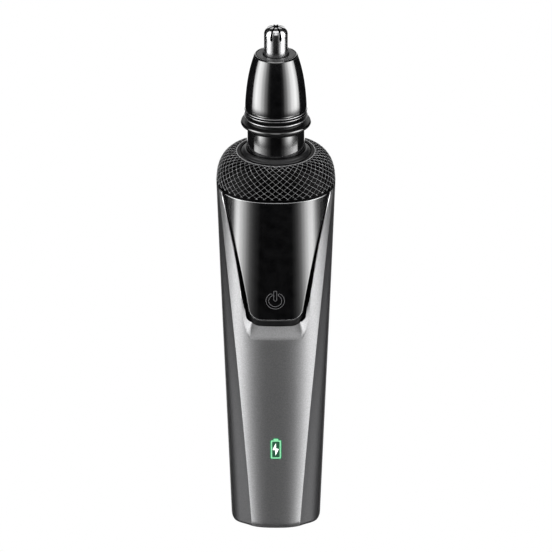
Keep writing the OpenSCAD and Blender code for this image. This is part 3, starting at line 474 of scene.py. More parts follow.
# ------------------------------------------------------------------ body shell
def build_shell():
    b = Build()
    z_top, z_bot, rt = SHELL_TOP, 0.42, 0.35
    zt = z_top - rt
    D = 2.3
    nS, nC1, nC2, nB = 64, 18, 8, 14
    # half outlines, from the top left round to the centre of the lower edge: the gap's edge with its depth,
    # the rim at the surface, and the band's outer border
    o1, o2, o3, dep = [], [], [], []
    rc, zc, split = 4.3, 75.5, 55
    for i in range(nS):
        f = i / nS
        z1 = zt + (zc - zt) * f
        z2 = zt + (77.3 - zt) * f
        z3 = zt + (9.0 - zt) * f
        o1.append((gap_w(z1), z1))
        o2.append((rim_w(z2), z2))
        o3.append((crease_x(z3), z3))
        dep.append(0.5 + 0.35 * max(0.0, min(1.0, (84 - z1) / 7)))
    wc = gap_w(zc)
    for i in range(nC1):
        f = i / nC1
        a = rad(split) * f
        x1, z1 = wc - rc * (1 - math.cos(a)), zc - rc * math.sin(a)
        o1.append((x1, z1))
        dep.append(min(D, 0.85 + 1.3 * max(0.0, rim_w(z1) - x1 - 0.58)))
        z2 = 77.3 + (67.75 - 77.3) * f
        o2.append((rim_w(z2), z2))
        z3 = 9.0 + (z_bot - 9.0) * f
        o3.append((crease_x(z3), z3))
    xc2 = rim_w(67.75)
    x_end = wc - rc
    for i in range(nC2):
        f = i / nC2
        a = rad(split + (90 - split) * f)
        o1.append((wc - rc * (1 - math.cos(a)), zc - rc * math.sin(a)))
        dep.append(D)
        o2.append((xc2 + (x_end - xc2) * f, 67.6))
        xb = crease_x(z_bot)
        o3.append((xb + (x_end * 0.95 - xb) * f, z_bot))
    for i in range(nB + 1):
        f = i / nB
        x = x_end * (1 - f)
        o1.append((x, zc - rc))
        dep.append(D)
        o2.append((x, 67.6))
        o3.append((x * 0.95, z_bot))
    N = len(o1)
    T = 34
    bev = 0.1

    def column(i, sgn):
        """Points from deep in the gap, over the rim, across the band to the crease."""
        x1, z1 = o1[i]
        x2, z2 = o2[i]
        x3, z3 = o3[i]
        pts = []
        p1 = front(sgn * x1, z1, dep[i])
        p2 = front(sgn * x2, z2, 0.0)
        pts.append(front(sgn * x1, z1, 3.1))
        pts.append(p1)
        L = np.linalg.norm(p2 - p1)
        for t in (0.25, 0.5, 0.75):
            pts.append(p1 + (p2 - p1) * t)
        pts.append(p1 + (p2 - p1) * (1 - bev / L))
        w = math.hypot(x3 - x2, z3 - z2)
        t0 = min(bev / w, 0.1)
        in_side = i <= nS + nC1
        t1 = 1 - (min(0.12 / w, 0.1) if in_side else 0)
        for k in range(T + 1):
            g = k / T
            g = t0 + (t1 - t0) * g
            x, z = x2 + (x3 - x2) * g, z2 + (z3 - z2) * g
            pts.append(np.array([sgn * x, -band_y(x, z), z]))
        return pts

    cols = [column(i, -1) for i in range(N)] + [column(i, 1) for i in range(N - 2, -1, -1)]

    def round_top(p, n):
        """Four more points that round the top edge inwards; n is the outward horizontal normal."""
        return [(p[0] - n[0] * rt * (1 - math.cos(a)), p[1] - n[1] * rt * (1 - math.cos(a)), zt + rt * math.sin(a))
                for a in (rad(22.5), rad(45), rad(67.5), rad(90))]

    def top_cols(sgn):
        base = cols[0] if sgn < 0 else cols[-1]
        extra = [[], [], [], []]
        for k, p in enumerate(base):
            if k < 6:
                n = np.array([0.0, 0.0])
                if k >= 5:
                    a = band_slope(p[0], zt) * sgn
                    n = np.array([math.sin(a), -math.cos(a)])
            else:
                a = band_slope(p[0], zt) * sgn
                if k == len(base) - 1:
                    a += rad(6) * sgn
                n = np.array([math.sin(a), -math.cos(a)])
            for j, q in enumerate(round_top(p, n)):
                extra[j].append(np.array(q))
        return extra

    left, right = top_cols(-1), top_cols(1)
    allc = list(reversed(left)) + cols + right
    b.grid(allc, flip=False)
    per = len(allc[0]) - 1
    # the gap's deep wall, and higher up more of the rim's chamfer next to it, are near-black: painted shade in the
    # recess
    for k in range(len(b.f)):
        c, r = k // per - 4, k % per
        z1 = o1[min(c, 2 * N - 2 - c)][1] if 0 <= c < 2 * N - 1 else zt
        if r == 0 or (r <= 3 and z1 > 80.2) or (r <= 2 and z1 > 79.0) or (r == 1 and z1 > 77.6):
            b.m[k] = 1
        # a thin band of the rim takes a bright metal grey: a painted highlight line
        elif r in (4, 5) and 80.2 < z1 < zt - 0.8:
            b.m[k] = 3

    # side and back strip, level by level down the crease
    levels = [o3[i][1] for i in range(nS + nC1 + 1)]
    nSide, nBack = 16, 44

    def strip(z, i):
        """Points from the right-front crease round the back to the left-front crease."""
        x2, z2 = o2[i]
        x3, z3 = o3[i]
        w = math.hypot(x3 - x2, z3 - z2)
        g = 1 - min(0.12 / w, 0.1)
        xs, zs = x2 + (x3 - x2) * g, z2 + (z3 - z2) * g
        c = side_ctrl(z)
        xc, yc = c[0]
        pts = [np.array([xs, -band_y(xs, zs), zs])]
        ts = [0.014] + [0.014 + (1 - 0.014) * k / nSide for k in range(1, nSide + 1)]
        for t in ts:
            q = bez(c, t)
            pts.append(np.array([q[0], -q[1], z]))
        for t in reversed(ts[:-1]):
            q = bez(c, t)
            pts.append(np.array([q[0], q[1], z]))
        xb = xc - 0.12
        for k in range(nBack + 1):
            x = xb * (1 - 2 * k / nBack)
            pts.append(np.array([x, band_y(x, z), z]))
        for t in ts:
            q = bez(c, t)
            pts.append(np.array([-q[0], q[1], z]))
        for t in reversed(ts[:-1]):
            q = bez(c, t)
            pts.append(np.array([-q[0], -q[1], z]))
        pts.append(np.array([-xs, -band_y(xs, zs), zs]))
        return pts

    rows = [strip(z, i) for i, z in enumerate(levels)]
    top = rows[0]
    extra = [[], [], [], []]
    for k, p in enumerate(top):
        if k in (0, len(top) - 1):
            sgn = 1 if k == 0 else -1
            a = (band_slope(p[0], zt) + rad(6)) * sgn
            n = np.array([math.sin(a), -math.cos(a)])
        else:
            d = top[k + 1] - top[k - 1]
            n = np.array([-d[1], d[0]])
            n = n / np.linalg.norm(n)
            if n @ p[:2] < 0:
                n = -n
        for j, q in enumerate(round_top(p, n)):
            extra[j].append(np.array(q))
    rows = list(reversed(extra)) + rows
    f0, per = len(b.f), len(rows[0]) - 1
    b.grid(rows, flip=False)
    # the side facets take a darker copy of the silver: painted shade on the sides; the back stays silver
    q = (2 * nSide + 2, 2 * nSide + 3 + nBack)
    for k in range(f0, len(b.f)):
        i = (k - f0) % per
        if not q[0] <= i < q[1]:
            b.m[k] = 2
    o = finish_mesh("body_shell_skin", b, [M["silver_paint"], M["gap_shade_black"], M["silver_side_shade"], M["rim_highlight_grey"]], "handle", sharp=24, merge=2e-6, recalc=True)
    return o


shell = build_shell()
# make sure that the outside faces out before the wall is given its thickness
bm = bmesh.new()
bm.from_mesh(shell.data)
bm.faces.ensure_lookup_table()
back = max(bm.faces, key=lambda f: f.calc_center_median().y)
if back.normal.y < 0:
    bmesh.ops.reverse_faces(bm, faces=bm.faces)
bm.to_mesh(shell.data)
bm.free()
sol = shell.modifiers.new("wall", "SOLIDIFY")
sol.thickness = 1.2 * MM
sol.offset = -1
sol.use_rim = True
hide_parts("body_shell")


# ------------------------------------------------------------------ press panel
def build_panel():
    b = Build()
    zb, zt, rc = 74.75, 114.4, 3.0
    rows = []
    na = 12
    for k in range(na):
        a = rad(90 * k / na)
        z = zb + rc * (1 - math.cos(a))
        rows.append((panel_w(z) - rc * (1 - math.sin(a)), z))
    nz = 70
    for k in range(nz + 1):
        z = zb + rc + (zt - zb - rc) * k / nz
        rows.append((panel_w(z), z))
    nx = 64
    face = [[np.array([w * (2 * i / nx - 1), z]) for i in range(nx + 1)] for w, z in rows]
    # perimeter, counter-clockwise seen from the front
    loop = [face[0][i] for i in range(nx + 1)] + [face[j][nx] for j in range(1, len(rows))] \
        + [face[-1][i] for i in range(nx - 1, -1, -1)] + [face[j][0] for j in range(len(rows) - 2, 0, -1)]
    n = len(loop)
    nor = []
    for i in range(n):
        d = loop[(i + 1) % n] - loop[(i - 1) % n]
        d = d / np.linalg.norm(d)
        nor.append(np.array([d[1], -d[0]]))

    def bevel_w(p):
        """How far the lower edge's bevel stands out: widest along the bottom."""
        f = max(0.0, min(1.0, (80.5 - p[1]) / 5.2))
        return 0.10 + 0.95 * f * f * (3 - 2 * f)

    b.grid([[front(p[0], p[1]) for p in r] for r in face], flip=False)
    rings = []
    steps = [(0.0, 0.0), (0.06, 0.01), (0.12, 0.04), (0.17, 0.1), (0.2, 0.17)]
    def topmost(p, q):
        """The upper edge is rounded more than the others."""
        return 1.0 + 0.9 * max(0.0, q[1]) * (1.0 if p[1] > 113 else 0.0)

    for out, dep in steps:
        rings.append([front(*(p + q * (out if q[1] < 0.5 else out - 0.2 * (topmost(p, q) - 1) * (1 - out / 0.2))),
                            dep * topmost(p, q)) for p, q in zip(loop, nor)])
    for g in (0.33, 0.66, 1.0):
        rings.append([front(*(p + q * (0.2 + bevel_w(p) * g)), 0.17 + (0.18 + 0.6 * bevel_w(p)) * g)
                      for p, q in zip(loop, nor)])
    rings.append([front(*(p + q * (0.24 + bevel_w(p))), 1.1) for p, q in zip(loop, nor)])
    rings.append([front(*(p + q * (0.24 + bevel_w(p))), 1.6) for p, q in zip(loop, nor)])
    rings.append([front(*(p + q * 0.0), 1.6) for p, q in zip(loop, nor)])
    f0, per = len(b.f), len(rings)
    b.grid(rings, close_u=True, flip=True)
    # the rounding of the top edge takes a pale metal grey and the lower bevel a paler grey: painted highlights
    at_top = set(range(nx + len(rows), 2 * nx + len(rows) - 2))
    at_foot = {i for i in range(n) if loop[i][1] < zb + 2.0}
    for k in range(f0, len(b.f)):
        row, i = divmod(k - f0, n)
        if i in at_top and row in (1, 2):
            b.m[k] = 1
        elif i in at_foot and row in (1, 2, 3):
            b.m[k] = 2
    b.grid([[front(p[0], p[1], 1.6) for p in r] for r in face], flip=True)
    # lugs for the hinge pin and the nub over the switch
    for s in (-1, 1):
        tube_x(b, 2.6 if s > 0 else -4.6, 2.0, -13.0, 111, 1.3, 0.66)
        box_round(b, (2.6 if s > 0 else -4.6), 2.0, -15.9, -14.1, 109.9, 112.1)
    tube_y(b, 0, 81.5, -14.95, -13.55, 1.3)
    return finish_mesh("front_panel_skin", b, [M["black_gloss"], M["edge_highlight_grey"], M["foot_bevel_highlight"]], "panel", sharp=35)


def tube_x(b, x0, w, cy, cz, r1, r0, seg=36):
    rows = []
    prof = [(x0, r0), (x0, r1 - 0.12), (x0 + 0.12, r1), (x0 + w - 0.12, r1), (x0 + w, r1 - 0.12), (x0 + w, r0)]
    for k in range(seg):
        a = 2 * pi * k / seg
        rows.append([(x, cy + r * math.cos(a), cz + r * math.sin(a)) for x, r in prof])
    b.grid(rows, close_u=True, close_v=True, flip=True)


def tube_y(b, cx, cz, y0, y1, r, seg=36):
    prof = [(y0, 0.001), (y0, r), (y1 - 0.15, r), (y1, r - 0.15), (y1, 0.001)]
    rows = []
    for k in range(seg):
        a = 2 * pi * k / seg
        rows.append([(cx + q * math.cos(a), y, cz + q * math.sin(a)) for y, q in prof])
    b.grid(rows, close_u=True, close_v=True, flip=False)


def box_round(b, x0, w, y0, y1, z0, z1, c=0.12):
    xs = [(x0, c), (x0 + c, 0), (x0 + w - c, 0), (x0 + w, c)]
    rows = []
    for x, k in xs:
        rows.append([(x, y0 + k, z0 + k + c), (x, y0 + k + c, z0 + k), (x, y1 - k - c, z0 + k), (x, y1 - k, z0 + k + c),
                     (x, y1 - k, z1 - k - c), (x, y1 - k - c, z1 - k), (x, y0 + k + c, z1 - k), (x, y0 + k, z1 - k - c)])
    ids = b.grid(rows, close_u=True, flip=True)
    b.face(ids[0], 0)
    b.face(list(reversed(ids[-1])), 0)


panel = build_panel()
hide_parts("front_panel")


# ------------------------------------------------------------------ knurled shoulder
def build_knurl():
    b = Build()
    n_u, n_v = 940, 96
    # dense outline at the shell's top, resampled by length
    q = [(crease_x(SHELL_TOP) * i / 60, band_y(crease_x(SHELL_TOP) * i / 60, SHELL_TOP)) for i in range(61)]
    c = side_ctrl(SHELL_TOP)
    q += [tuple(bez(c, t / 60)) for t in range(1, 61)]
    q = [np.array(p) for p in q]
    ring = [q[i] for i in range(120, -1, -1)] + [q[i] * [-1, 1] for i in range(1, 121)] \
        + [q[i] * [-1, -1] for i in range(119, -1, -1)] + [q[i] * [1, -1] for i in range(1, 120)]
    ring = np.array(ring)
    # soften the crease a little so that the shoulder's edge runs on smoothly
    for _ in range(30):
        ring = 0.5 * ring + 0.25 * (np.roll(ring, 1, 0) + np.roll(ring, -1, 0))
    seg = np.linalg.norm(np.roll(ring, -1, 0) - ring, axis=1)
    s = np.concatenate([[0], np.cumsum(seg)])
    L = s[-1]
    closed = np.vstack([ring, ring[:1]])
    u = np.arange(n_u) / n_u * L
    px = np.interp(u, s, closed[:, 0])
    py = np.interp(u, s, closed[:, 1])
    P = np.stack([px, py], 1)
    k0 = np.argmin(P[:, 1] - 0.0001 * np.abs(P[:, 0]))
    U = (np.arange(n_u) / n_u)
    front_u = np.interp(0, [0], [0])
    i_front = np.argmin(np.abs(P[:, 0]) + (P[:, 1] > 0) * 100)
    U = (U - U[i_front]) * 48.0
    z0, h, r1 = 114.9, 9.4, 11.77
    pit = 0.26
    C = P / np.linalg.norm(P, axis=1)[:, None] * r1

    def ridge(x, w):
        d = np.abs((x + 0.5) % 1.0 - 0.5)
        return np.clip(1 - d / w, 0, 1) ** 1.0

    rows, crest_highlight = [], []
    phis = [rad(90) * k / n_v for k in range(n_v + 1)]
    base = []
    for ph in phis:
        f = math.cos(ph)
        xy = C + (P - C) * f
        base.append(np.column_stack([xy, np.full(n_u, z0 + h * math.sin(ph))]))
    base = np.array(base)
    # outward normals of the smooth surface
    du = np.roll(base, -1, 1) - np.roll(base, 1, 1)
    dv = np.gradient(base, axis=0)
    nor = np.cross(du, dv)
    nor /= np.linalg.norm(nor, axis=2)[:, :, None] + 1e-12
    # length up the profile sets the rows of diamonds
    seglen = np.linalg.norm(np.diff(base, axis=0), axis=2).mean(1)
    vlen = np.concatenate([[0], np.cumsum(seglen)])
    vt = vlen / vlen[-1]
    for k in range(n_v + 1):
        V = 6.6 * vt[k] ** 0.94
        a = np.maximum(ridge(U + V, 0.09), ridge(U - V, 0.09))
        edge = min(1.0, max(0.0, (vt[k] - 0.038) / 0.012)) * min(1.0, max(0.0, (0.985 - vt[k]) / 0.01))
        a = 1 - (1 - a) * edge
        a = np.clip(a * 1.25, 0, 1)
        d = -pit * (1 - a)
        # the flat margins: the upper one takes a crest value of 0.85, a painted highlight line along the top edge
        crest_highlight.extend(list(a * edge + (1 - edge) * (0.85 if vt[k] > 0.5 else 0.0)))
        rows.append([tuple(p) for p in base[k] + nor[k] * d[:, None]])
    # top land, bore and underside
    def circle(r, z):
        return [tuple(np.append(p / np.linalg.norm(p) * r, z)) for p in P]
    for r, z in ((11.72, 124.33), (11.62, 124.36), (11.5, 124.36), (10.95, 124.34), (10.78, 124.3), (10.7, 124.2),
                 (10.66, 124.0), (10.66, 117.0), (13.6, 117.0), (13.8, 116.8)):
        rows.append(circle(r, z))
    under = [tuple(np.append(p * 0.93, 114.9)) for p in P]
    rows.append([tuple(np.append(p / np.linalg.norm(p) * 13.8, 114.9)) for p in P])
    rows.append(under)
    b.grid(rows, close_u=True, close_v=True, flip=False)
    crest_highlight += [0.0] * (len(b.v) - len(crest_highlight))
    return finish_mesh("knurled_ring_skin", b, [M["knurl_black"]], "handle", sharp=50, recalc=True, value=crest_highlight)


knurl = build_knurl()
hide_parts("knurled_ring")


# ------------------------------------------------------------------ socket lip, head, cap, tip
def build_socket():
    b = Build()
    prof = [(3.5, 110.9), (10.55, 110.9), (10.55, 124.1), (10.5, 124.28), (10.35, 124.42)]
    prof += smooth_curve([(10.2, 124.52), (9.95, 124.72), (9.72, 124.98), (9.5, 125.17), (9.28, 125.25), (9.08, 125.22),
                          (8.92, 125.1), (8.84, 124.9)], 4)
    prof += [(8.84, 112.6), (8.7, 112.5), (3.5, 112.5)]
    lathe(b, prof, 160)
    for s in (-1, 1):
        x0 = 7.0 if s > 0 else -8.9
        box_round(b, x0, 1.9, -1, 1, 112.4, 116.3)
        rows = []
        for k in range(32):
            a = 2 * pi * k / 32
            rows.append([(s * 7.4 + r * math.cos(a), r * math.sin(a), z) for r, z in
                         ((0.78, 106.9), (1.8, 106.9), (1.9, 107.0), (1.9, 110.95), (0.78, 110.95))])
        b.grid(rows, close_u=True, close_v=True)
    return finish_mesh("socket_cup_skin", b, [M["collar_matte"]], "handle", sharp=40, recalc=True)


socket = build_socket()
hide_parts("socket_cup")


def ring_finish(b, prof, span, beads):
    """Dull black between the beads of a turned profile; the beads' crests take a pale metal grey: a painted highlight
    line.
    """
    n = len(prof)
    for k in range(len(b.f)):
        i = k % n
        r = (prof[i][0] + prof[(i + 1) % n][0]) / 2
        z = (prof[i][1] + prof[(i + 1) % n][1]) / 2
        if span[0] < z < span[1]:
            b.m[k] = 1
            if any(lo < z < hi and r > edge for lo, hi, edge in beads):
                b.m[k] = 2


def build_head():
    b = Build()
    outer = [(8.44, 114.0), (8.6, 114.06), (8.7, 114.16), (8.74, 114.32), (8.74, 118.9), (8.0, 118.9), (8.0, 120.5), (8.74, 120.5)]
    outer += [(8.74, 124), (8.74, 127)]
    # cove under the flange, rounded rim, flat top, undercut bead
    outer += smooth_curve([(8.74, 131.8), (8.78, 132.1), (8.96, 132.45), (9.3, 132.8), (9.65, 133.05), (9.95, 133.2)], 4)
    outer += [(9.95 + 0.63 * math.cos(rad(a)), 133.83 + 0.63 * math.sin(rad(a))) for a in range(-84, 91, 7)]
    outer += [(9.4, 134.46), (8.95, 134.47)]
    outer += smooth_curve([(8.72, 134.55), (8.66, 134.8), (8.66, 135.4), (8.74, 135.6), (9.0, 135.7)], 4)
    outer += [(9.4 + 0.21 * math.cos(rad(a)), 135.9 + 0.21 * math.sin(rad(a))) for a in range(-80, 91, 10)]
    outer += [(8.9, 136.12), (8.4, 136.13)]
    prof = [(3.05, 129.4), (7.2, 129.4), (7.2, 114.0)] + outer + [(7.6, 136.2), (7.5, 136.3), (7.5, 140.2), (7.3, 140.4),
                                                               (3.2, 140.4), (3.05, 140.25)]
    lathe(b, prof, 192)
    ring_finish(b, prof, (132.4, 136.3), [(135.72, 136.2, 9.4)])
    for k in range(len(b.f)):
        if 133.95 < prof[k % len(prof)][1] < 134.3 and prof[k % len(prof)][0] > 10.3:
            b.m[k] = 0
    return finish_mesh("head_base_skin", b, [M["black_gloss"], M["ring_black"], M["edge_highlight_grey"]], "head",
                       sharp=38, recalc=True)


head = build_head()
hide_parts("head_base")


def build_lock():
    b = Build()
    prof = [(7.56, 137.4), (7.56, 136.25), (8.3, 136.25), (8.36, 136.32), (8.36, 137.0), (8.42, 137.1), (9.0, 137.16)]
    prof += [(9.2 + 0.13 * math.cos(rad(a)), 137.29 + 0.13 * math.sin(rad(a))) for a in range(-70, 81, 10)]
    prof += [(9.0, 137.42)]
    lathe(b, prof, 160)
    ring_finish(b, prof, (136.2, 137.5), [(137.2, 137.43, 9.2)])
    for a0 in (30, 150, 270):
        rows = []
        for k in range(9):
            w = rad(a0 - 6.9 + 13.8 * k / 8)
            rows.append([(r * math.cos(w), r * math.sin(w), z) for r, z in
                         ((7.95, 137.3), (8.6, 137.3), (8.62, 139.4), (8.5, 139.6), (8.05, 139.6), (7.95, 139.5))])
        ids = b.grid(rows, close_u=True)
        b.face(list(reversed(ids[0])))
        b.face(ids[-1])
    return finish_mesh("lock_ring_skin", b, [M["black_gloss"], M["ring_black"], M["edge_highlight_grey"]], "lock",
                       sharp=38, recalc=True)


lock = build_lock()
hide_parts("lock_ring")


def cap_profile(t): return 9.5 - 0.055 * t - 0.0022 * t * t - 0.00026 * t ** 3


def build_cap():
    b = Build()
    h = 155.7 - 138.3
    # lip: a small bead, a fine groove, then the flared lower edge
    low = [(8.7, 137.52), (8.75, 137.58), (8.75, 137.86), (8.82, 137.95), (9.1, 137.98)]
    low += [(9.3 + 0.16 * math.cos(rad(a)), 138.15 + 0.16 * math.sin(rad(a))) for a in range(-75, 88, 9)]
    low += [(9.12, 138.33), (8.98, 138.36), (8.95, 138.43), (9.0, 138.53), (9.26, 138.58), (9.36, 138.62)]
    side = [(cap_profile(t) - 0.07 * max(0.0, 1 - (t - 0.4) / 2.4) ** 2, 138.3 + t) for t in [0.4 + (h - 0.77) * k / 60 for k in range(61)]]
    r_end = side[-1][0]
    top = [(r_end - 0.04, 155.34), (r_end - 0.09, 155.39), (r_end - 0.4, 155.68), (r_end - 0.45, 155.7), (r_end - 0.5, 155.7)]
    inner = [(cap_profile(t) - 1.25, 138.3 + t) for t in [16.1 * (1 - k / 14) for k in range(15)]]
    prof1 = [(8.25, 137.5)] + low + side + top
    n_low = len(low) - 1
    # the flat top, its dark rim groove and its inner edge get their own finish
    n1 = len(prof1)
    disc = [(r_end - 0.54, 155.66), (r_end - 0.58, 155.45), (r_end - 0.8, 155.45), (r_end - 0.84, 155.62), (r_end - 0.9, 155.66),
            (5.2, 155.66), (4.6, 155.66), (4.1, 155.66), (3.99, 155.62), (3.93, 155.5)]
    prof = prof1 + disc + [(3.93, 154.5)] + inner
    seg = 192
    rows = []
    for k in range(seg):
        a = 2 * pi * k / seg
        rows.append([(r * math.cos(a), r * math.sin(a), z) for r, z in prof])
    m, n = len(rows), len(prof)
    ids = [b.add(r) for r in rows]
    for j in range(m):
        for i in range(n):
            mat = 1 if n1 + 1 <= i < n1 + len(disc) else 0
            # the lip is dull black, and its bead's crest takes a pale metal grey: a painted highlight line
            if 1 <= i < n_low:
                mat = 3 if 138.02 < prof[i][1] < 138.31 and prof[i][0] > 9.3 else 2
            b.face([ids[j][i], ids[j][(i + 1) % n], ids[(j + 1) % m][(i + 1) % n], ids[(j + 1) % m][i]], mat)
    return finish_mesh("cone_cap_skin", b, [M["black_gloss"], M["disc_grey"], M["ring_black"], M["edge_highlight_grey"]], "cap",
                       sharp=50, recalc=True)


cap = build_cap()
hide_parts("cone_cap")


def build_tip():
    b = Build()
    R, top, er = 3.58, 164.4, 2.3
    prof = fillet([(3.28, 153.42), (5.2, 153.42), (5.2, 154.36), (3.58, 154.36)], [0.03, 0.08, 0.08, 0.0], 3)
    prof += [(3.58, z) for z in np.linspace(154.8, 161.9, 12)]
    prof += [(R - er + er * math.cos(rad(a)), top - er + er * math.sin(rad(a))) for a in range(0, 90, 5)]
    prof += [(0.9, top), (0.5, top - 0.02), (0.42, top - 0.1), (0.4, top - 0.3)]
    prof += [(0.9, top - 0.35)]
    prof += [(R - er + (er - 0.3) * math.cos(rad(a)), top - 0.05 - er + (er - 0.3) * math.sin(rad(a))) for a in range(90, -1, -6)]
    n_out = len(prof) - 17
    lathe(b, prof, 256)
    # the inside of the cutter is near-black: painted shade inside the dome
    for k in range(len(b.f)):
        if k % len(prof) >= n_out:
            b.m[k] = 1
    o = finish_mesh("outer_cutter_skin", b, [M["cutter_steel"], M["cutter_bore"]], "cap", sharp=30, recalc=True)
    # slots: a straight part over the dome that ends in a rounder, wider foot
    c = Build()
    for k in range(8):
        a = rad(22.5 + 45 * k)
        ca, sa = math.cos(a), math.sin(a)
        prof2 = []
        for wv, zz in ((0.3, 166.0), (0.3, 163.6), (0.31, 163.0), (0.34, 162.5), (0.38, 162.0), (0.4, 161.6), (0.33, 161.2),
                       (0.19, 160.95), (0.0, 160.85)):
            prof2.append((wv, zz))
        loop = [(w, z) for w, z in prof2] + [(-w, z) for w, z in reversed(prof2[:-1])]
        rows = []
        for x in (0.3, 5.0):
            rows.append([(x * ca - w * sa, x * sa + w * ca, z) for w, z in loop])
        ids = c.grid(rows, close_u=True)
        c.face(list(reversed(ids[0])))
        c.face(ids[-1])
    cut = finish_mesh("tip_slot_tool", c, [M["cutter_bore"]], "cap", sharp=30, recalc=True)
    mod = o.modifiers.new("slots", "BOOLEAN")
    mod.operation = "DIFFERENCE"
    mod.solver = "EXACT"
    mod.object = cut
    # the slot walls take the tool's near-black finish: painted shade in the slots
    mod.material_mode = "TRANSFER"
    mod.use_self = True
    dg = bpy.context.evaluated_depsgraph_get()
    me = bpy.data.meshes.new_from_object(o.evaluated_get(dg))
    o.modifiers.clear()
    o.data = me
    me.shade_smooth()
    me.set_sharp_from_angle(angle=rad(30))
    bpy.data.objects.remove(cut)
    return o


tip = build_tip()
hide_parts("outer_cutter")


# ------------------------------------------------------------------ foot and gasket
def outline(z, inset=0.0, n_band=40, n_side=40):
    q = [np.array([crease_x(z) * i / n_band, band_y(crease_x(z) * i / n_band, z)]) for i in range(n_band + 1)]
    c = side_ctrl(z)
    q += [bez(c, t / n_side) for t in range(1, n_side + 1)]
    m = len(q) - 1
    ring = [q[i] for i in range(m, -1, -1)] + [q[i] * [-1, 1] for i in range(1, m + 1)] \
        + [q[i] * [-1, -1] for i in range(m - 1, -1, -1)] + [q[i] * [1, -1] for i in range(1, m)]
    ring = np.array(ring)
    d = np.roll(ring, -1, 0) - np.roll(ring, 1, 0)
    nrm = np.stack([d[:, 1], -d[:, 0]], 1)
    nrm /= np.linalg.norm(nrm, axis=1)[:, None]
    return ring - nrm * inset


def build_foot():
    b = Build()
    rows = []
    for ins, z in ((0.5, 0.0), (0.34, 0.02), (0.2, 0.07), (0.12, 0.14), (0.1, 0.2), (0.1, 0.3), (0.16, 0.36), (0.3, 0.38),
                   (1.72, 0.38), (1.72, 1.8), (2.8, 1.8), (2.8, 3.0), (1.72, 3.0), (1.72, 4.1), (1.9, 4.2)):
        rows.append([(x, y, z) for x, y in outline(0.4 if z < 1 else 0.7, ins)])
    ids = b.grid(rows, close_u=True)
    b.face(list(reversed(ids[0])))
    b.face(ids[-1])
    o = finish_mesh("base_cap_skin", b, [M["black_satin"]], "handle", sharp=30, recalc=True)
    c = Build()
    n = 16
    loop = [(2.9 + 1.85 * math.cos(rad(a)), 1.85 * math.sin(rad(a))) for a in np.linspace(-90, 90, n)] \
        + [(-2.9 + 1.85 * math.cos(rad(a)), 1.85 * math.sin(rad(a))) for a in np.linspace(90, 270, n)]
    ids = c.grid([[(x * 1.03, y * 1.08, -1) for x, y in loop], [(x * 1.03, y * 1.08, 0.0) for x, y in loop],
                  [(x, y, 0.2) for x, y in loop], [(x, y, 6) for x, y in loop]], close_u=True)
    c.face(list(reversed(ids[0])))
    c.face(ids[-1])
    for s in (-1, 1):
        prof = [(2.2, -1), (2.2, -0.02), (2.1, 0.1), (2.1, 1.7), (1.05, 1.7), (1.05, 6)]
        rows = [[(s * 9.2 + r * math.cos(2 * pi * k / 48), r * math.sin(2 * pi * k / 48), z) for k in range(48)] for r, z in prof]
        ids = c.grid(rows, close_u=True)
        c.face(list(reversed(ids[0])))
        c.face(ids[-1])
    cut = finish_mesh("foot_tool", c, [M["black_satin"]], "handle", sharp=30, recalc=True)
    mod = o.modifiers.new("holes", "BOOLEAN")
    mod.operation = "DIFFERENCE"
    mod.solver = "EXACT"
    mod.object = cut
    dg = bpy.context.evaluated_depsgraph_get()
    me = bpy.data.meshes.new_from_object(o.evaluated_get(dg))
    o.modifiers.clear()
    o.data = me
    me.shade_smooth()
    me.set_sharp_from_angle(angle=rad(30))
    bpy.data.objects.remove(cut)
    return o


foot = build_foot()
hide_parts("base_cap")


def build_gasket():
    b = Build()
    rows = []
    for ins, z in ((0.5, 114.63), (0.42, 114.66), (0.4, 114.75), (0.42, 114.84), (0.5, 114.88), (1.5, 114.88), (1.5, 114.63)):
        rows.append([(x, y, z) for x, y in outline(SHELL_TOP, ins)])
    b.grid(rows, close_u=True, close_v=True)
    return finish_mesh("shoulder_seal_skin", b, [M["black_rubber"]], "handle", sharp=40, recalc=True)


gasket = build_gasket()
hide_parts("shoulder_seal")


# ------------------------------------------------------------------ symbols that follow the surface
def ribbon(b, loops, lift, depth, mat=0, closed=True):
    """Solid band between two matched loops of (x, z), laid on the front band."""
    a, c = loops
    rows = [[front(x, z, -lift) for x, z in a], [front(x, z, -lift) for x, z in c],
            [front(x, z, depth) for x, z in c], [front(x, z, depth) for x, z in a]]
    ids = b.grid(rows, close_u=closed, close_v=True, mat=mat)
    if not closed:
        b.face([r[0] for r in ids], mat)
        b.face([r[-1] for r in reversed(ids)], mat)


def offset_loop(pts, d):
    p = np.array(pts)
    t = np.roll(p, -1, 0) - np.roll(p, 1, 0)
    n = np.stack([t[:, 1], -t[:, 0]], 1)
    n /= np.linalg.norm(n, axis=1)[:, None] + 1e-12
    return [tuple(q) for q in p + n * d]


def dense(pts, step=0.12):
    out = []
    n = len(pts)
    for i in range(n):
        a, c = np.array(pts[i]), np.array(pts[(i + 1) % n])
        k = max(1, int(np.linalg.norm(c - a) / step))
        out += [tuple(a + (c - a) * j / k) for j in range(k)]
    return out


def fan(b, loop, lift, mat=0, depth=0.05):
    cx = sum(p[0] for p in loop) / len(loop)
    cz = sum(p[1] for p in loop) / len(loop)
    rows = []
    for g in (1.0, 0.75, 0.5, 0.25, 0.02):
        rows.append([front(cx + (x - cx) * g, cz + (z - cz) * g, -lift) for x, z in loop])
    ids = b.grid(rows, close_u=True, mat=mat)
    b.face(list(reversed(ids[-1])), mat)
    ids2 = b.grid([[front(x, z, depth) for x, z in loop], rows[0]], close_u=True, mat=mat)
    b.face(ids2[0], mat)


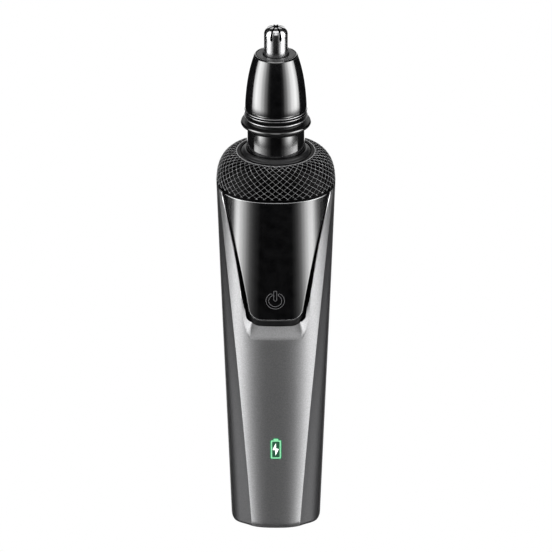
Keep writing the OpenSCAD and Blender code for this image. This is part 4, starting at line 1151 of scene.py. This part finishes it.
def build_power():
    b = Build()
    cx, cz, ro, ri = -0.2, 81.35, 2.8, 1.97
    gap = rad(33)
    n = 72
    # outline of the broken ring
    arc = []
    for k in range(n + 1):
        a = pi / 2 + gap + (2 * pi - 2 * gap) * k / n
        arc.append((cx + ro * math.cos(a), cz + ro * math.sin(a)))
    mid, rr = (ro + ri) / 2, (ro - ri) / 2
    aend = pi / 2 - gap
    end1 = [(cx + mid * math.cos(aend) + rr * math.cos(aend + w), cz + mid * math.sin(aend) + rr * math.sin(aend + w))
            for w in np.linspace(0, pi, 9)[1:-1]]
    arc2 = []
    for k in range(n + 1):
        a = pi / 2 - gap - (2 * pi - 2 * gap) * k / n
        arc2.append((cx + ri * math.cos(a), cz + ri * math.sin(a)))
    astart = pi / 2 + gap
    end2 = [(cx + mid * math.cos(astart) + rr * math.cos(astart + w), cz + mid * math.sin(astart) + rr * math.sin(astart + w))
            for w in np.linspace(pi, 2 * pi, 9)[1:-1]]
    ring = arc + end1 + arc2 + end2
    bar = [(cx + 0.45 * math.cos(w), cz + 0.35 + 0.45 * math.sin(w)) for w in np.linspace(pi, 2 * pi, 13)] \
        + [(cx + 0.45, cz + 3.35), (cx - 0.45, cz + 3.35)]
    bar = dense(bar, 0.15)
    for loop in (ring, bar):
        lw = 0.062
        ribbon(b, (offset_loop(loop, lw), offset_loop(loop, -lw)), 0.025, 0.1, 0)
    # dark floor of the strokes
    def strip_fill(outer, inner):
        rows = [[front(x, z, -0.008) for x, z in outer], [front(x, z, -0.008) for x, z in inner]]
        b.grid(rows, mat=1)
    inner_arc = list(reversed(arc2))
    strip_fill(arc, inner_arc)
    fan(b, bar, 0.008, 1)
    return finish_mesh("power_symbol_skin", b, [M["symbol_grey"], M["symbol_pit"]], "panel", sharp=50, recalc=False)


power = build_power()
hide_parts("power_symbol")


def battery_outline(grow=0.0):
    w, z0, z1, nw, nz = 1.575 + grow, 25.6 - grow, 32.1 + grow, 0.75 + grow, 32.7 + grow
    pts = [(-w, z0), (w, z0), (w, z1), (nw, z1), (nw, nz), (-nw, nz), (-nw, z1), (-w, z1)]
    rad_ = [0.25, 0.25, 0.25, 0.0, 0.15, 0.15, 0.0, 0.25]
    return fillet(pts, rad_, 4)


def build_battery():
    b = Build()
    # smoked window with a soft green edge
    inner = dense(battery_outline(0.0), 0.2)
    outer = [(x * 1.0, z) for x, z in offset_loop(inner, 0.2)]
    ribbon(b, (outer, inner), 0.012, 0.5, 1)
    face = []
    for j in range(41):
        z = 25.62 + (32.08 - 25.62) * j / 40
        face.append([front(-1.56 + 3.12 * i / 16, z, -0.006) for i in range(17)])
    b.grid(face, mat=0)
    back = []
    for j in range(41):
        z = 25.62 + (32.08 - 25.62) * j / 40
        back.append([front(-1.56 + 3.12 * i / 16, z, 1.3) for i in range(17)])
    b.grid(back, mat=0, flip=True)
    edge_f = [face[0][i] for i in range(17)] + [face[j][16] for j in range(1, 41)] + [face[40][i] for i in range(15, -1, -1)] + [face[j][0] for j in range(39, 0, -1)]
    edge_b = [back[0][i] for i in range(17)] + [back[j][16] for j in range(1, 41)] + [back[40][i] for i in range(15, -1, -1)] + [back[j][0] for j in range(39, 0, -1)]
    b.grid([edge_f, edge_b], close_u=True, mat=0, flip=True)
    win = finish_mesh("indicator_window_skin", b, [M["window_green"], M["window_halo"]], "handle", sharp=40)
    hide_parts("indicator_window")
    c = Build()
    # outline of the cell
    o = dense(fillet([(-1.575, 25.6), (1.575, 25.6), (1.575, 32.1), (-1.575, 32.1)], 0.3, 4), 0.2)
    i = dense(fillet([(-1.155, 26.0), (1.155, 26.0), (1.155, 31.7), (-1.155, 31.7)], 0.12, 4), 0.2)
    oo = offset_loop(o, 0)
    ii = []
    for x, z in oo:
        xi = max(-1.155, min(1.155, x * 1.155 / 1.575))
        zi = 28.85 + (z - 28.85) * (2.85 / 3.25)
        ii.append((xi, zi))
    ribbon(c, (oo, ii), 0.05, 0.02, 0)
    nub = dense(fillet([(-0.75, 32.02), (0.75, 32.02), (0.75, 32.7), (-0.75, 32.7)], [0, 0, 0.15, 0.15], 4), 0.15)
    fan(c, nub, 0.05, 0, 0.02)
    # bolt: two triangles that meet in the middle
    cx, cz, k = 275.4, 448.0, 1 / 3.62
    bolt = [(-0.06, 31.1), (-1.0, 28.75), (-0.2, 28.6), (-0.14, 26.7), (0.86, 29.0), (0.06, 29.2)]
    fan(c, dense(bolt, 0.15), 0.055, 1, 0.02)
    sym = finish_mesh("battery_symbol_skin", c, [M["symbol_green"], M["symbol_white"]], "handle", sharp=40)
    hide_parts("battery_symbol")


build_battery()

# ------------------------------------------------------------------ stage, lights, camera
scene = bpy.context.scene
stage_b = Build()
rows = []
for j in range(41):
    rows.append([((i - 20) * 60.0, (j - 20) * 60.0, 0.0) for i in range(41)])
stage_b.grid(rows)
me = bpy.data.meshes.new("floor")
me.from_pydata([(x * MM, y * MM, z * MM - 0.00002) for x, y, z in stage_b.v], [], stage_b.f)
floor = bpy.data.objects.new("floor", me)
scene.collection.objects.link(floor)
fm = bpy.data.materials.new("floor_pale")
fm.use_nodes = True
nt = fm.node_tree
nt.nodes.clear()
out = nt.nodes.new("ShaderNodeOutputMaterial")
em = nt.nodes.new("ShaderNodeEmission")
em.inputs["Color"].default_value = (1, 1, 1, 1)
em.inputs["Strength"].default_value = 1.0
nt.links.new(em.outputs[0], out.inputs[0])
me.materials.append(fm)
floor.visible_glossy = False
floor.visible_diffuse = False
floor.visible_transmission = False
floor.visible_shadow = False

world = bpy.data.worlds.new("world")
scene.world = world
world.use_nodes = True
nt = world.node_tree
nt.nodes.clear()
out = nt.nodes.new("ShaderNodeOutputWorld")
lp = nt.nodes.new("ShaderNodeLightPath")
bg1 = nt.nodes.new("ShaderNodeBackground")
bg1.inputs["Color"].default_value = (1, 1, 1, 1)
bg1.inputs["Strength"].default_value = 1.0
bg2 = nt.nodes.new("ShaderNodeBackground")
bg2.inputs["Color"].default_value = (1, 1, 1, 1)
bg2.inputs["Strength"].default_value = 0.006
mx = nt.nodes.new("ShaderNodeMixShader")
nt.links.new(lp.outputs["Is Camera Ray"], mx.inputs[0])
nt.links.new(bg2.outputs[0], mx.inputs[1])
nt.links.new(bg1.outputs[0], mx.inputs[2])
nt.links.new(mx.outputs[0], out.inputs[0])


def dome_card(name, az0, az1, el0, el1, strength, az_stops, el_stops, radius=1.0, centre=(0, 0, 0.085)):
    """Glowing patch of a sphere round the object, unseen by the camera. Azimuth runs from the front (0) towards +X (90).
    The stops are (angle, share) pairs that shape its brightness."""
    nu, nv = 48, 36
    pts, faces, uvs = [], [], []
    for j in range(nv + 1):
        for i in range(nu + 1):
            az, el = rad(az0 + (az1 - az0) * i / nu), rad(el0 + (el1 - el0) * j / nv)
            pts.append((centre[0] + radius * math.sin(az) * math.cos(el), centre[1] - radius * math.cos(az) * math.cos(el),
                        centre[2] + radius * math.sin(el)))
            uvs.append((i / nu, j / nv))
    for j in range(nv):
        for i in range(nu):
            k = j * (nu + 1) + i
            faces.append((k, k + 1, k + nu + 2, k + nu + 1))
    me = bpy.data.meshes.new(name)
    me.from_pydata(pts, [], faces)
    uv = me.uv_layers.new(name="UVMap")
    for lo in me.loops:
        uv.data[lo.index].uv = uvs[lo.vertex_index]
    o = bpy.data.objects.new(name, me)
    scene.collection.objects.link(o)
    m = bpy.data.materials.new(name)
    m.use_nodes = True
    nt = m.node_tree
    nt.nodes.clear()
    out = nt.nodes.new("ShaderNodeOutputMaterial")
    em = nt.nodes.new("ShaderNodeEmission")
    tcn = nt.nodes.new("ShaderNodeTexCoord")
    sep = nt.nodes.new("ShaderNodeSeparateXYZ")
    nt.links.new(tcn.outputs["UV"], sep.inputs[0])

    def shape(src, stops, lo, hi):
        r = nt.nodes.new("ShaderNodeValToRGB")
        cr = r.color_ramp
        cr.interpolation = "EASE"
        for k, (ang, share) in enumerate(stops):
            pos = (ang - lo) / (hi - lo)
            e = cr.elements[k] if k < 2 else cr.elements.new(pos)
            e.position = pos
            e.color = (share, share, share, 1)
        nt.links.new(src, r.inputs[0])
        return r.outputs[0]

    mu = nt.nodes.new("ShaderNodeMath")
    mu.operation = "MULTIPLY"
    nt.links.new(shape(sep.outputs[0], az_stops, az0, az1), mu.inputs[0])
    nt.links.new(shape(sep.outputs[1], el_stops, el0, el1), mu.inputs[1])
    mu2 = nt.nodes.new("ShaderNodeMath")
    mu2.operation = "MULTIPLY"
    mu2.inputs[1].default_value = strength
    nt.links.new(mu.outputs[0], mu2.inputs[0])
    nt.links.new(mu2.outputs[0], em.inputs["Strength"])
    nt.links.new(em.outputs[0], out.inputs[0])
    me.materials.append(m)
    o.visible_camera = False
    o.visible_shadow = False
    return o


az_hi = [(16, 0), (26, 0.01), (38, 0.15), (50, 0.45), (64, 0.85), (78, 1.0), (90, 0.62), (95, 0.4), (97.5, 0)]
az_mid = [(16, 0), (30, 0.035), (42, 0.13), (55, 0.27), (69, 0.5), (80, 0.6), (93, 0.48), (98, 0)]
az_lo_l = [(18, 0), (25, 0.012), (30, 0.03), (36, 0.07), (42, 0.175), (49, 0.37), (57, 0.6), (65, 0.85), (70, 0.78), (74, 0.5),
           (80, 0.12), (88, 0)]
az_lo_r = [(18, 0), (23, 0.012), (28, 0.04), (34, 0.11), (40, 0.28), (47, 0.52), (54, 0.76), (61, 0.8), (66, 0.6), (72, 0.28),
           (79, 0.1), (88, 0)]
el_hi = [(-20, 0), (-12, 1.0), (40, 1.0), (62, 0)]
el_mid = [(-25.4, 0), (-22.8, 1.0), (-18, 1.0), (-13, 0)]
el_lo = [(-78, 0), (-60, 0.35), (-44, 0.9), (-31, 1.0), (-25.4, 1.0), (-22.8, 0)]
for side, sgn, az_lo in (("right", 1, az_lo_r), ("left", -1, az_lo_l)):
    dome_card("card_hi_" + side, sgn * 16, sgn * 98, -20, 62, 7.0, [(sgn * a, v) for a, v in az_hi], el_hi)
    dome_card("card_mid_" + side, sgn * 16, sgn * 98, -25.4, -13, 7.0, [(sgn * a, v) for a, v in az_mid], el_mid)
    dome_card("card_lo_" + side, sgn * 16, sgn * 98, -78, -22.8, 7.0, [(sgn * a, v) for a, v in az_lo], el_lo)
dome_card("card_front", -44, 44, 20, 66, 1.7, [(-44, 0), (-24, 1), (24, 1), (44, 0)], [(20, 0), (34, 1), (54, 1), (66, 0)])
dome_card("card_back", 150, 210, -50, 60, 1.5, [(150, 0), (164, 1), (196, 1), (210, 0)], [(-50, 0), (-20, 1), (30, 1), (60, 0)])
dome_card("card_top", -100, 100, 56, 86, 2.4, [(-100, 0), (-60, 1), (60, 1), (100, 0)], [(56, 0), (66, 1), (80, 1), (86, 0)])

cam_d = bpy.data.cameras.new("camera")
cam = bpy.data.objects.new("camera", cam_d)
scene.collection.objects.link(cam)
e = rad(26)
target = Vector((0, 0, 0.080))
cam.location = target + Vector((0, -math.cos(e), math.sin(e))) * 1.1
cam.rotation_mode = "QUATERNION"
cam.rotation_quaternion = (target - cam.location).to_track_quat("-Z", "Y")
cam_d.sensor_width = 36
cam_d.lens = 36 * 3580.5 / 552
cam_d.shift_x = -(275.4 - 275.5) / 552
cam_d.shift_y = (281.58 - 275.5) / 552
cam_d.clip_start = 0.05
cam_d.clip_end = 20
scene.camera = cam
scene.view_settings.view_transform = "Standard"
